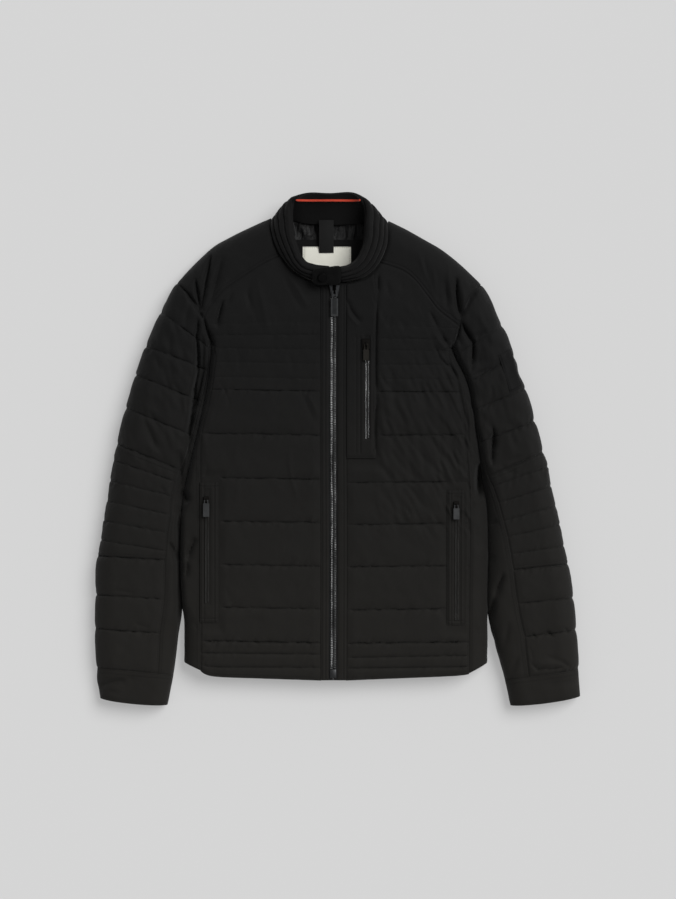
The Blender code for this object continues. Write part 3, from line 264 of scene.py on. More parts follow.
# Creases: the two ends, the width, and the height; a trough is below 0
Crease = collections.namedtuple("Crease", "x0 y0 x1 y1 width height")
CREASED = 1.5  # the heights below are multiplied by this
CREASES = [Crease(*row) for row in (
    # right yoke
    (-191, 289, -204, 209, 2.6, -9), (-214, 255, -207, 208, 2.4, -7), (-195, 255, -200, 210, 2.6, 1.8),
    (-173, 288, -191, 219, 4, -3.0), (-166, 255, -184, 222, 4, 1.2), (-225, 245, -218, 219, 3, -1),
    # right front
    (-172, 222, -181, 184, 2.6, -5.0), (-158, 235, -168, 218, 2, -1.4),
    (-132, 252, -131, 204, 3.5, -1.1), (-121, 252, -103, 174, 2.6, 0.9), (-75, 260, -46, 213, 3, 0.9),
    (-79, 255, -52, 208, 3, -0.8), (-50, 260, -27, 235, 2.6, 0.6), (-55, 85, -36, 42, 4, -0.8),
    (-45, 82, -30, 49, 3, 0.6), (-73, 148, -67, 110, 3.5, -0.5), (-151, 153, -147, 115, 3.5, -0.5),
    (-151, 5, -155, -25, 4, 0.5), (-147, -53, -155, -78, 3, 0.5), (-73, -1, -60, -74, 2.2, 0.9),
    (-196, -23, -199, -42, 3, -0.8), (-169, -205, -161, -232, 3.5, -0.6),
    (-142, -252, -112, -257, 6, -0.5),
    # right sleeve
    (-221, 222, -230, 179, 3, -1.6), (-235, 245, -239, 199, 5, -1.2), (-249, 179, -251, 138, 3, -1.4),
    (-260, 186, -253, 153, 4, -0.8), (-213, 174, -212, 105, 2.8, -9), (-212, 112, -219, 57, 3.4, -9),
    (-218, 67, -225, 22, 3.6, -7), (-210, 198, -213, 165, 2.2, -5), (-196, 179, -187, 153, 4.5, -3.4),
    (-253, 133, -249, 110, 2.6, -1.2), (-262, 125, -253, 87, 3, -1.3), (-275, 143, -268, 123, 3, -0.8),
    (-255, 105, -251, 84, 2.6, -1.2), (-245, 98, -235, 80, 3, -1), (-283, 60, -268, 32, 3, -1.5),
    (-291, 55, -281, 24, 3.4, -1.2), (-287, 42, -274, 4, 3, -1.4), (-235, 80, -234, 55, 3, -1.2),
    (-278, 24, -269, -3, 3, -1.3), (-267, -55, -258, -63, 2.6, -0.9),
    (-292, -145, -272, -149, 3, -0.5), (-357, -356, -319, -346, 4, -2.2),
    (-346, -361, -328, -365, 3, -1.2), (-346, -322, -324, -298, 5, 0.9),
    (-319, -344, -297, -343, 4, -0.8), (-305, -260, -283, -267, 3, -0.8),
    (-338, -211, -305, -216, 3, -0.9), (-251, -140, -242, -167, 3.5, -4.5),
    # right side panel
    (-213, -134, -226, -167, 4, -4.5), (-226, -167, -229, -194, 4, -3.5),
    (-234, -62, -225, -81, 4, -5), (-223, -140, -213, -132, 3, -1.2),
    (-215, -260, -210, -273, 3.5, -0.9),
    # left yoke
    (178, 257, 184, 198, 2.6, -7.5), (186, 242, 189, 206, 2.6, 1.5), (121, 293, 143, 231, 3, 1.2),
    (129, 288, 141, 231, 4, -1.1), (143, 270, 151, 231, 3, 1), (166, 275, 173, 216, 3, 1.1),
    (160, 252, 164, 211, 5, -2.5), (146, 252, 153, 211, 4, -0.9),
    # left sleeve
    (186, 189, 203, 159, 2.8, -8), (203, 163, 201, 128, 2.8, -7.5), (201, 131, 198, 116, 2.2, -2.2),
    (204, 167, 222, 178, 3, -1.9), (208, 142, 219, 151, 3, -0.9), (202, 110, 227, 121, 2.6, -1.7),
    (211, 123, 222, 136, 3, -1), (230, 97, 228, 64, 3, -1.5), (231, 35, 233, -1, 3, -5),
    (179, 172, 184, 155, 2.2, -1.6), (171, 151, 169, 136, 2.2, -1.2), (257, 40, 267, 30, 4, -0.8),
    (213, 144, 211, 126, 2.6, -1.2), (231, 21, 231, -25, 3, -5), (248, -20, 280, -9, 3, -1),
    (251, -33, 277, -35, 3, -0.9), (228, -113, 240, -107, 4.5, -1.6),
    (225, -174, 235, -158, 4.5, -1.4), (248, -186, 235, -222, 4, -4.5), (235, -222, 228, -257, 4, -5),
    (255, -260, 247, -295, 4.5, -2), (272, -309, 257, -335, 3.4, -1.8),
    (289, -321, 300, -331, 1.9, -2.0), (298, -331, 309, -328.5, 1.7, -2.4),
    (306, -327, 318, -330, 1.7, -2.0), (316, -329.5, 338, -326, 1.7, -2.2),
    (300, -321, 334, -320, 4, 1.1), (312, -311, 330, -316, 2.2, -1.5),
    (328, -315, 348, -327, 2.4, -2.0), (290, -275, 298, -282, 1.7, -1.6),
    (308, -280, 315, -272, 1.6, -1.4), (314, -273, 324, -281, 1.7, -1.8),
    (339, -267, 346, -275, 1.6, -1.3), (312, -271, 321, -279, 3, -1.2),
    (288, -298, 292, -322, 3, -0.9),
    # left side panel
    (206, -113, 215, -151, 3, -0.9), (216, -145, 223, -164, 3, 0.8), (211, -22, 212, -72.9, 5.0, -12),
    (203, -265, 214, -279, 4, -1), (187, 61, 195, 22, 2.6, -1.5), (180, 92, 184, 61, 3, -1),
    # left front
    (16, 215, 34, 190, 2.6, -2.8), (14, 205, 31, 185, 3, 1.1), (13, 224, 19, 213, 3, -1.6),
    (137, 207, 149, 182, 2.2, -1.7), (149, 182, 168, 151, 2.2, -1.5), (142, 158, 153, 136, 2.2, -1.9),
    (153, 136, 169, 120, 2.2, -1.7), (153, 172, 166, 154, 2, -1.1), (160, 136, 178, 105, 2.4, -1.9),
    (143, 175, 164, 149, 2.6, 1.4), (148, 149, 171, 122, 2.6, 1.6), (166, 118, 180, 98, 2.6, 1.2),
    (73, 252, 77, 229, 3, -1), (95, 252, 96, 237, 3, -0.6), (78, 198, 78, 180, 2.6, -1),
    (96, 195, 100, 178, 2.6, -0.9), (107, 113, 112, 92, 2.6, -0.8), (78, 123, 85, 105, 2.6, -1),
    (72, 102, 90, 64, 3.6, -1.4), (90, 64, 102, 35, 3.6, -1.3), (91, 100, 102, 74, 3.4, -0.9),
    (120, 97, 133, 61, 3.6, -1.1), (71, 43, 82, 25, 3, -1.2), (99, 35, 115, 2, 3.6, -1),
    (153, 92, 169, 53, 5, -0.6), (122, -1, 131, -35, 3, -1.1), (152, 13, 165, -23, 4, -1.2),
    (60, -17, 77, -45, 3.6, -1.5), (79, -1, 84, -21, 3, -1), (105, -20, 122, -48, 3.6, -1.7),
    (92, -53, 100, -72, 3, -1.2), (104, -50, 116, -69, 3, -1.3), (112, -58, 130, -87, 3, -1.1),
    (97, -77, 111, -99, 3, -1.1), (113, -88, 135, -123, 3.6, -1), (83, -205, 108, -224, 6, -0.5),
    # fine pulls across left front
    (88, 37, 163, -46, 2.2, -0.7), (72, 11, 118, -46, 2.0, -0.8), (58, -8, 93, -42, 2.0, -0.7),
    (105, 38, 153, -19, 2.2, -0.5), (104, -56, 163, -121, 2.2, -0.6),
    # beside the chest panel
    (59.6, 262, 60.5, 236, 2.0, -2.0), (59.8, 240, 58.2, 60, 1.8, -2.4),
    (58.2, 75, 57.4, -10, 1.8, -1.8),
    # right front, high up
    (-140, 244, -112, 170, 2.4, -0.6),
    # between the right sleeve and the body
    (-203, 168, -215, 62, 6.5, -5.5), (-190, 140, -227, -50, 5, -5),
    (-239.5, -90, -239, -262.9, 3.8, -10), (-237, -5, -237, -95, 8.0, -7),
    # armhole seams
    (-240, 248, -202, 196, 1.8, -3.5), (-200, 194, -188, 156, 2.0, -5.5),
    (216, 250, 185, 198, 1.8, -2.8), (184, 192, 171, 150, 1.9, -5.5),
    # last pulls on both fronts
    (-180, 105, -160, 60, 2.6, -0.5), (152, -238, 162, -260, 4, -0.6),
)]

# Where the outline is pushed out, or in where the height is below 0
Dent = collections.namedtuple("Dent", "x y reach height")
DENTS = (
    Dent(268, 113, 15, -3.5),
    Dent(240, 200, 26, -3),
    Dent(293, 45, 18, -3),
    Dent(-150, 325, 40, 1.5),
    Dent(138, 313, 42, 2),
    Dent(-355, -345, 14, 3),
)


# ---------- lines and form ----------


class Path:
    """A smooth line through marked spots, read by its share of length or by its height on the page."""

    def __init__(self, spots, steps=20):
        marks = np.array(spots, float)
        gaps = np.linalg.norm(np.diff(marks, axis=0), axis=1)
        slopes = np.diff(marks, axis=0) / gaps[:, None]
        way = np.empty_like(marks)
        way[0] = slopes[0]
        way[-1] = slopes[-1]
        for i in range(1, len(marks) - 1):
            way[i] = (slopes[i] * gaps[i - 1] + slopes[i - 1] * gaps[i]) / (gaps[i - 1] + gaps[i])
        line = [marks[:1]]
        t = (np.arange(1, steps + 1) / steps)[:, None]
        for i, gap in enumerate(gaps):
            line.append(
                (2 * t**3 - 3 * t**2 + 1) * marks[i]
                + (t**3 - 2 * t**2 + t) * gap * way[i]
                + (3 * t**2 - 2 * t**3) * marks[i + 1]
                + (t**3 - t**2) * gap * way[i + 1]
            )
        self.line = np.concatenate(line)
        run = np.concatenate([[0.0], np.cumsum(np.linalg.norm(np.diff(self.line, axis=0), axis=1))])
        self.length = run[-1]
        self.run = run / run[-1]
        self.marks = self.run[::steps]

    def at(self, share):
        return np.stack([np.interp(share, self.run, part) for part in self.line.T], axis=-1)

    def x_at(self, y):
        order = np.argsort(self.line[:, 1])
        return np.interp(y, self.line[order, 1], self.line[order, 0])

    def y_at(self, x):
        order = np.argsort(self.line[:, 0])
        return np.interp(x, self.line[order, 0], self.line[order, 1])

    def share_of(self, spot):
        return float(self.run[np.argmin(np.linalg.norm(self.line - np.array(spot, float), axis=1))])

    def square_to(self, share, towards):
        """The level direction square to the line, on the side that a level direction points to."""
        step = self.at(np.minimum(share + 0.004, 1.0)) - self.at(np.maximum(share - 0.004, 0.0))
        square = np.stack([step[..., 1], -step[..., 0]], axis=-1)
        square /= np.hypot(step[..., 0], step[..., 1])[..., None]
        turned = square @ np.array(towards, float)
        return square * np.where(turned > 0, 1.0, -1.0)[..., None]


def sleeve_spots(side, end):
    return [(getattr(row, end + "_x"), getattr(row, end + "_y")) for row in SLEEVE[side]]


SILHOUETTE = {side: Path(list(SHOULDER[side]) + sleeve_spots(side, "outer")[1:]) for side in SIDES}
SLEEVE_FOLD = {side: Path(sleeve_spots(side, "inner")) for side in SIDES}
BODY_EDGE = {side: Path(BODY_FOLD[side]) for side in SIDES}
SEAM = {side: Path(SIDE_SEAM[side]) for side in SIDES}
ARM = {side: Path(ARMHOLE[side]) for side in SIDES}
YOKE = {side: Path(YOKE_SEAM[side]) for side in SIDES}
NECK = {side: Path(NECK_SIDE[side]) for side in SIDES}
FRONT_NECK = {side: Path(NECK_FRONT[side]) for side in SIDES}
ZIP = Path(ZIP_LINE)

FOLDS = [paths[side].line[::4] for paths in (SILHOUETTE, SLEEVE_FOLD, BODY_EDGE) for side in SIDES]
FOLD_START = np.concatenate([line[:-1] for line in FOLDS])
FOLD_STEP = np.concatenate([np.diff(line, axis=0) for line in FOLDS])
FOLD_SQUARE = (FOLD_STEP**2).sum(axis=1)
FOLD_OF = np.concatenate([np.full(len(line) - 1, i) for i, line in enumerate(FOLDS)])
# The outer folds of the sleeves, which are the first two, are round all along. The others get narrower
# from where body and sleeve start to press on each other.
PRESSED = [np.interp(FOLD_START[:, 1], PRESSED_FROM[side], (ROUND - 4, PRESSED_ROUND)) for side in SIDES]
FOLD_ROUND = np.where(FOLD_OF > 1, np.where(FOLD_OF % 2 == 0, *PRESSED), ROUND)


def unit(vectors):
    return vectors / np.maximum(np.linalg.norm(vectors, axis=-1, keepdims=True), 1e-9)


def full_height(y):
    return np.interp(y, *zip(*HEIGHTS))


def to_fold(x, y):
    """Distance from each spot to the nearest fold, its share of the rounding, the way to it and its round."""
    spots = np.stack([np.ravel(x), np.ravel(y)], axis=-1)
    distances, nears, ways, rounds = [], [], [], []
    for few in np.array_split(spots, max(1, len(spots) // 4000)):
        away = few[:, None, :] - FOLD_START
        share = np.clip((away * FOLD_STEP).sum(axis=2) / FOLD_SQUARE, 0, 1)
        away = share[..., None] * FOLD_STEP - away
        square = (away**2).sum(axis=2)
        best = np.argmin(square / FOLD_ROUND**2, axis=1)
        pick = np.arange(len(few))
        distances.append(np.sqrt(square.min(axis=1)))
        nears.append(np.sqrt(square[pick, best]) / FOLD_ROUND[best])
        ways.append(away[pick, best])
        rounds.append(FOLD_ROUND[best])
    distance, near, wide = (np.concatenate(part).reshape(np.shape(x)) for part in (distances, nears, rounds))
    return distance, near, unit(np.concatenate(ways)).reshape(*np.shape(x), 2), wide


def top_skin(x, y, out=None):
    """Places and outward directions of the upper cloth; out is the way out where a spot is on a fold."""
    distance, near, way, wide = to_fold(x, y)
    if out is not None:
        way = np.where((distance < 0.3)[..., None], out, way)
    top = full_height(y)
    rise = top * (1 - WIDEST)
    near = np.clip(near, 0.002, 1.0)
    curve = np.sqrt(1 - (1 - near) ** 2)
    slow = np.minimum(distance / CROWN_WIDTH, 1.0)
    height = top - rise + rise * ((1 - CROWN) * curve + CROWN * slow)
    slope = rise * (1 - CROWN) * (1 - near) / (wide * curve)
    outward = np.stack([way[..., 0] * slope, way[..., 1] * slope, np.ones_like(slope)], axis=-1)
    return np.stack([x, y, height], axis=-1), unit(outward)


def side_skin(spot, out, turn):
    """Places and outward directions on the curl from a fold (turn 0) down to the surface (turn 1)."""
    turn = np.broadcast_to(turn, spot.shape[:-1])
    inward, down = np.cos(turn * math.pi / 2), np.sin(turn * math.pi / 2)
    widest = full_height(spot[..., 1]) * WIDEST
    level = spot - out * TUCK * (1 - inward)[..., None]
    place = np.concatenate([level, (widest * (1 - down))[..., None]], axis=-1)
    return place, unit(np.concatenate([out * inward[..., None] / TUCK, (-down / widest)[..., None]], axis=-1))


def swell(share):
    """Height of a quilted channel across its width, from 0 at one stitch line to 0 at the next."""
    return 1 - np.abs(2 * share - 1) ** 4.2


def fade(share, width):
    return np.clip(share / width, 0, 1) ** 0.7


def even(lows_and_highs, count):
    return np.linspace(*lows_and_highs, max(int(count), 2))


def closer(count):
    """Shares from 0 to 1, twice as close together at both ends."""
    share = even((0, 1), count)
    return share - 0.08 * np.sin(2 * math.pi * share)


# ---------- unevenness ----------

RANDOM = np.random.default_rng(7)
WAVES = RANDOM.uniform(-1, 1, (64, 512))


def ripple(run, line):
    """Soft uneven waves, about one to each unit of run; line picks another set."""
    low = np.floor(run).astype(int)
    part = run - low
    part = part * part * (3 - 2 * part)
    before = WAVES[np.mod(line, 64), np.mod(low, 512)]
    after = WAVES[np.mod(line, 64), np.mod(low + 1, 512)]
    return before + (after - before) * part


def drift(x, y, line=0):
    """Soft unevenness in two directions, about one hill to each unit."""
    row = np.floor(y).astype(int)
    part = y - row
    part = part * part * (3 - 2 * part)
    before, after = ripple(x, row + line), ripple(x, row + 1 + line)
    return before + (after - before) * part


def crease_height(x, y):
    """Height of the creases at each spot: each fades out to its ends and to its sides."""
    total = np.zeros(np.shape(x))
    for crease in CREASES:
        along = np.array([crease.x1 - crease.x0, crease.y1 - crease.y0])
        length = np.hypot(*along)
        share = ((x - crease.x0) * along[0] + (y - crease.y0) * along[1]) / length**2
        aside = ((x - crease.x0) * along[1] - (y - crease.y0) * along[0]) / length
        bend = 0.05 * length * math.sin(3.1 * crease.x0 + crease.y1) * (1 - (2 * share - 1) ** 2)
        taper = np.clip(1 - (1.84 * share - 0.92) ** 2, 0, 1) ** 0.8
        spread = crease.width * (0.8 + 0.5 * np.clip(share, 0, 1))
        total += CREASED * crease.height * taper * np.exp(-np.abs((aside - bend) / spread) ** 1.4)
    return total


def soft_height(x, y):
    """The creases with a slow unevenness below them, over all of the upper cloth.

    pulled adds fine slanting creases over the left front, and limp adds them on sides and sleeves.
    """
    slow = 0.5 * drift(x / 34.0, y / 41.0, 3) + 0.28 * drift((x + 0.5 * y) / 13.0, (y - 0.4 * x) / 17.0, 20)
    fine = 0.1 * drift((x - 0.7 * y) / 5.0, (y + 0.5 * x) / 8.0, 33)
    pulled = drift((0.9 * x + 0.43 * y) / 4.6, (0.43 * x - 0.9 * y) / 22.0, 45)
    over_left = 0.3 * np.clip((260.0 - y) / 60.0, 0, 1) + 0.7 * np.clip((120.0 - y) / 40.0, 0, 1)
    over_left = over_left * np.clip((x - 50.0) / 20.0, 0, 1) * np.clip((215.0 - x) / 20.0, 0, 1)
    over_left = over_left * np.clip((y + 150.0) / 60.0, 0, 1)
    pulled = pulled * (0.5 + 1.7 * np.clip(drift(x / 26.0, y / 32.0, 5) + 0.4, 0, 1))
    pulled = 1.15 * np.tanh(1.9 * pulled / 1.15)
    limp = drift((x + 0.3 * y) / 7.0, (y - 0.3 * x) / 16.0, 52)
    limp = limp * np.clip((np.abs(x + 6.0) - 188.0) / 14.0, 0, 1) * np.clip((y + 90.0) / 90.0, 0.15, 1)
    return crease_height(x, y) + slow + fine + pulled * over_left + limp


def outline_height(x, y):
    """How far the folds are pushed out, or in where it is below 0."""
    total = np.zeros(np.shape(x))
    for dent in DENTS:
        total += dent.height * np.exp(-((x - dent.x) ** 2 + (y - dent.y) ** 2) / dent.reach**2)
    return total


def gathers(along, away, line, lean):
    """Puckers on one side of a stitch line, dying out away from it."""
    waves = ripple((along + lean * away) / 5.0, line) + 0.7 * ripple((along + lean * away) / 2.4, line + 9)
    strength = np.clip(0.6 + 0.9 * ripple(along / 30.0, line + 31), 0.1, 1.3)
    return waves * strength * np.exp(-away / 4.5) * (1 - np.exp(-away / 1.0))


def quilting(t, along, widths, puffs, seed, lean):
    """Relief of a quilted piece: t counts its stitch lines, along runs beside them in millimetres."""
    line = np.clip(np.floor(t + 1e-6).astype(int), 0, len(widths) - 1)
    share = np.clip(t - line, 0, 1)
    wide, puff = np.array(widths, float)[line], np.array(puffs, float)[line]
    above, below = share * wide, (1 - share) * wide
    body = puff * swell(share) * (1 + 0.14 * drift(along / 47.0, t * 1.3, seed + 5))
    pucker = gathers(along, above, seed + 2 * line, lean)
    pucker = pucker + gathers(along, below, seed + 2 * line + 1, -lean)
    ragged = ripple(along / 7.0, seed + line + 17) + 0.5 * ripple(along / 2.8, seed + line + 23)
    deep = 0.6 + 0.9 * np.clip(ragged + 0.1, -0.5, 1.2)
    strong = np.interp(puff, (CHEST_PUFF, NARROW_PUFF, HEM_PUFF, PUFF), (0.15, 1.0, 0.8, 1.7))
    hem_top = [i for i in range(1, len(puffs)) if puffs[i] == HEM_PUFF and puffs[i - 1] == PUFF]
    strong = strong + 1.5 * np.isin(np.rint(t), hem_top) * (1 + 0.5 * ripple(along / 12.0, seed + 19))
    groove = -deep * np.exp(-((np.minimum(above, below) / 1.4) ** 2)) * strong
    return np.where(puff > 0, body + (0.7 + 0.5 * strong) * pucker + groove, 0.0)


# ---------- cloth ----------

SEWN = {}  # lines of stitches by piece, each as its points and outward directions
SHEETS = []  # what each piece of cloth was cut to


def only(*pieces):
    """Selects these pieces and nothing else."""
    bpy.ops.object.select_all(action="DESELECT")
    for piece in pieces:
        piece.select_set(True)
    bpy.context.view_layer.objects.active = pieces[0]


def pulled_in(points, gap):
    """The grid with its border rows and columns moved inwards by the gap."""
    moved = points.copy()
    for grid, new in ((points, moved), (points.swapaxes(0, 1), moved.swapaxes(0, 1))):
        for edge, inner in ((0, 1), (-1, -2)):
            step = grid[inner] - grid[edge]
            far = np.maximum(np.linalg.norm(step, axis=1, keepdims=True), 1e-6)
            new[edge] = new[edge] + step / far * np.minimum(gap, 0.4 * far)
    return moved


def border_runs(place):
    """Distance of each point of a grid from its first and last row and its left and right column."""
    down = np.linalg.norm(np.diff(place, axis=0), axis=2)
    first = np.concatenate([np.zeros((1, place.shape[1])), np.cumsum(down, axis=0)])
    across = np.linalg.norm(np.diff(place, axis=1), axis=2)
    left = np.concatenate([np.zeros((place.shape[0], 1)), np.cumsum(across, axis=1)], axis=1)
    return {"first": first, "last": first[-1] - first, "left": left, "right": left[:, -1:] - left}


def line_beside(points, run, edge, offset):
    """The line that runs beside a border of a grid at this offset from it."""
    if edge in ("first", "last"):
        points, run = points.transpose(1, 0, 2), run.T
    found = []
    for spots, far in zip(points, run):
        order = np.argsort(far)
        found.append([np.interp(offset, far[order], spots[order, k]) for k in range(3)])
    return np.array(found)


def surface_way(points):
    """The outward direction of a finished grid, from its own slopes."""
    down, across = np.gradient(points, axis=0), np.gradient(points, axis=1)
    return unit(np.cross(across, down))


def walls(place, outward, lift, low):
    """The outer and the inner side of a piece; what is deep goes straight down and keeps the outline."""
    facing = outward[..., 2]
    upper = facing > -0.2
    hollow = np.where(upper, np.minimum(lift + HOLLOW, 0.0), 0.0)
    lift = lift - hollow
    lift = np.where((lift < 0) & upper, lift * np.clip(facing * 1.6 - 0.1, 0.04, 1), lift)
    outer = place + outward * lift[..., None]
    inner = place + outward * np.minimum(np.asarray(low, float), lift - THINNEST)[..., None]
    hollow = hollow * DEEPER * np.clip(facing * 1.6 + 0.3, 0.05, 1)
    hollow = np.maximum(hollow, np.minimum(LOWEST - outer[..., 2], 0))
    outer[..., 2] += hollow
    inner[..., 2] += hollow
    return outer, inner


def wall_mesh(name, outer, inner, across, along):
    """A grid with a thickness, moved to its outer and inner side; its UV runs across and along the cloth."""
    rows, columns = outer.shape[:2]
    bpy.ops.mesh.primitive_grid_add(x_subdivisions=columns - 1, y_subdivisions=rows - 1, size=1.0)
    piece = bpy.context.object
    piece.name = name
    mesh = piece.data
    mesh.name = name
    wall = piece.modifiers.new("wall", "SOLIDIFY")
    wall.thickness = 0.01
    wall.offset = -1.0
    bpy.ops.object.modifier_apply(modifier=wall.name)
    points = np.concatenate([outer.reshape(-1, 3), inner.reshape(-1, 3)]) * MM
    mesh.vertices.foreach_set("co", points.ravel())
    corners = corners_of(mesh) % (rows * columns)
    spots = np.stack([across[corners % columns], along[corners // columns]], axis=-1) * MM
    mesh.uv_layers[0].data.foreach_set("uv", spots.ravel())
    return piece


def corners_of(mesh):
    corners = np.zeros(len(mesh.loops), np.int32)
    mesh.loops.foreach_get("vertex_index", corners)
    return corners


def finish(piece, look, nodes, angle=50):
    """Turns a piece's faces outwards, gives it its finish and ties it to the jacket."""
    piece.data.update()
    if volume_of(piece.data) < 0:
        piece.data.flip_normals()
    piece.data.materials.append(LOOKS[look].material)
    only(piece)
    bpy.ops.object.shade_smooth_by_angle(angle=math.radians(angle))
    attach(piece, "jacket")
    if nodes:
        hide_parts(*nodes)


def cloth(
    name, skin, lift, slot, low=-WALL, gap=SEAM_GAP, mitre=MITRE, sewn=(), lines=(), rolled=0.9, nodes=None,
    rests_on=("back",), held="laid", pattern=None, push=0.0,
):
    """A piece of cloth with a real thickness, from a grid of places and outward directions.

    lift is the relief of its outer side and low the level of its plain inner side. push moves its folds
    in or out, and rolled rounds its borders off. sewn gives lines of stitches beside its borders as
    (border, offsets), and lines gives rows that are sewn through.
    """
    place, outward = skin
    runs = border_runs(place)
    lift = np.broadcast_to(np.asarray(lift, float), place.shape[:2]).copy()
    nearest = np.minimum(np.minimum(runs["first"], runs["last"]), np.minimum(runs["left"], runs["right"]))
    lift -= rolled * np.exp(-((nearest / 1.5) ** 2))
    beside = [(edge, offset) for edge, offsets in sewn for offset in offsets]
    for edge, offset in beside:
        lift -= 0.75 * np.exp(-(((runs[edge] - offset) / 1.0) ** 2))
    place = place + outward * np.array([1.0, 1.0, 0.0]) * np.broadcast_to(push, lift.shape)[..., None]
    outer, inner = walls(place, outward, lift, low)
    outer, inner = pulled_in(outer, gap), pulled_in(inner, gap + mitre)
    across, along = runs["left"].mean(axis=0), runs["first"].mean(axis=1)
    piece = wall_mesh(name + "_cloth", outer, inner, across, along)
    finish(piece, pattern or slot, nodes or (name,), 55)

    way = surface_way(outer)
    if (way * outward).sum() < 0:
        way = -way
    found = []
    for edge, offset in beside:
        found.append([line_beside(grid, runs[edge], edge, offset) for grid in (outer, way)])
    found += [(outer[row, 1:-1], way[row, 1:-1]) for row in lines]
    if found:
        SEWN[name] = found
    wide, long = runs["left"][:, -1].max(), runs["first"][-1].max()
    quads = np.cross(place[1:, 1:] - place[:-1, :-1], place[1:, :-1] - place[:-1, 1:])
    area = float(np.linalg.norm(quads, axis=2).sum() / 2)
    SHEETS.append((piece, (max(wide, 12.0) * MM, long * MM), area * MM * MM, held, rests_on))


def volume_of(mesh):
    mesh.calc_loop_triangles()
    corners = np.zeros(len(mesh.loop_triangles) * 3, np.int32)
    mesh.loop_triangles.foreach_get("vertices", corners)
    points = np.zeros(len(mesh.vertices) * 3)
    mesh.vertices.foreach_get("co", points)
    a, b, c = points.reshape(-1, 3)[corners].reshape(-1, 3, 3).transpose(1, 0, 2)
    return float((a * np.cross(b, c)).sum())


# ---------- looks ----------

BLACK = (0.0036, 0.0036, 0.0036)
PAINTED_HEM_LIGHT = (0.0118, 0.0109, 0.0094)  # painted light: the shell's tint near the hem, paler and warmer as if lit more from below
PALER_BELOW = 0.17  # height on the page, in metres, below which the painted light turns it paler
PALE_GREY = (0.39, 0.39, 0.39)
SLOT_SHADE_X, SLOT_SHADE_HALF, SLOT_SHADE_FROM = -5.6, 2.6, 232.5  # painted shade: the slot between the arms of the main slider
SHADED_MIDDLE_AT, SHADED_MIDDLE_HALF = Spot(-5.2, 214.5), Spot(3.1, 12.5)  # sunk middle of the main pull tab, darkened by painted shade


class Value:
    """A number that varies over a surface; sums on it add the nodes of the material."""

    def __init__(self, look, socket):
        self.look = look
        self.socket = socket

    def maths(self, operation, *numbers):
        made = self.look.node("ShaderNodeMath", {"operation": operation}, dict(enumerate(numbers)))
        return Value(self.look, made.outputs[0])

    def __add__(self, other):
        return self.maths("ADD", self, other)

    __radd__ = __add__

    def __sub__(self, other):
        return self.maths("SUBTRACT", self, other)

    def __rsub__(self, other):
        return self.maths("SUBTRACT", other, self)

    def __mul__(self, other):
        return self.maths("MULTIPLY", self, other)

    __rmul__ = __mul__

    def __abs__(self):
        return self.maths("ABSOLUTE", self)

    def sine(self):
        return self.maths("SINE", self)

    def above(self, level):
        return self.maths("GREATER_THAN", self, level)

    def clamped(self):
        return self.maths("MINIMUM", self.maths("MAXIMUM", self, 0.0), 1.0)


class Look:
    """The finish of a surface: a material with its fixed values, and the nodes that vary it."""

    def __init__(self, name, **fixed):
        self.name = name
        self.material = bpy.data.materials.new(name)
        self.material.use_nodes = True
        self.tree = self.material.node_tree
        self.shader = self.tree.nodes["Principled BSDF"]
        for socket, value in fixed.items():
            self.shader.inputs[socket.replace("_", " ")].default_value = value

    def node(self, kind, settings=None, sockets=None):
        made = self.tree.nodes.new(kind)
        for key, value in (settings or {}).items():
            setattr(made, key, value)
        for key, value in (sockets or {}).items():
            if isinstance(value, Value):
                self.tree.links.new(value.socket, made.inputs[key])
            else:
                made.inputs[key].default_value = value
        return made

    def place(self, kind="Object"):
        """The coordinates of the surface, in metres: its place, or UV along and across the cloth."""
        found = self.node("ShaderNodeTexCoord").outputs[kind]
        parts = self.node("ShaderNodeSeparateXYZ", None, {0: Value(self, found)})
        return [Value(self, part) for part in parts.outputs]

    def noise(self, size, detail=2.0, stretch=(1.0, 1.0, 1.0), rough=0.5):
        """Cloudy unevenness with hills of about this size in millimetres, from 0 to 1."""
        found = Value(self, self.node("ShaderNodeTexCoord").outputs["Object"])
        scaled = self.node("ShaderNodeMapping", None, {"Vector": found, "Scale": stretch})
        sockets = {"Vector": Value(self, scaled.outputs[0]), "Scale": 1000.0 / size, "Detail": detail}
        made = self.node("ShaderNodeTexNoise", None, {**sockets, "Roughness": rough})
        return Value(self, made.outputs["Fac"])

    def mix(self, share, *ends):
        """The first tint where the share is 0 and the second where it is 1; an end may be a mix."""
        first, second = (end if isinstance(end, Value) else (*end, 1.0) for end in ends)
        made = self.node("ShaderNodeMix", {"data_type": "RGBA"}, {0: share, 6: first, 7: second})
        return Value(self, made.outputs[2])

    def feed(self, socket, value):
        self.tree.links.new(value.socket, self.shader.inputs[socket])

    def bump(self, height, deep=1.0):
        """Relief too fine for the mesh; height in millimetres."""
        made = self.node("ShaderNodeBump", None, {"Height": height, "Distance": MM, "Strength": deep})
        self.feed("Normal", Value(self, made.outputs[0]))


def times(tint, factor):
    return tuple(part * factor for part in tint)


def weave(look, pitch):
    """Over and under threads along and across the cloth, from -1 to 1; pitch in millimetres."""
    across, along, _ = look.place("UV")
    turn = 2 * math.pi / (pitch * MM)
    return (across * turn).sine() * (along * turn).sine()


def twill(look, pitch):
    """Slanting threads, from -1 to 1."""
    across, along, _ = look.place("UV")
    turn = 2 * math.pi / (pitch * MM)
    return ((across + along) * turn).sine()


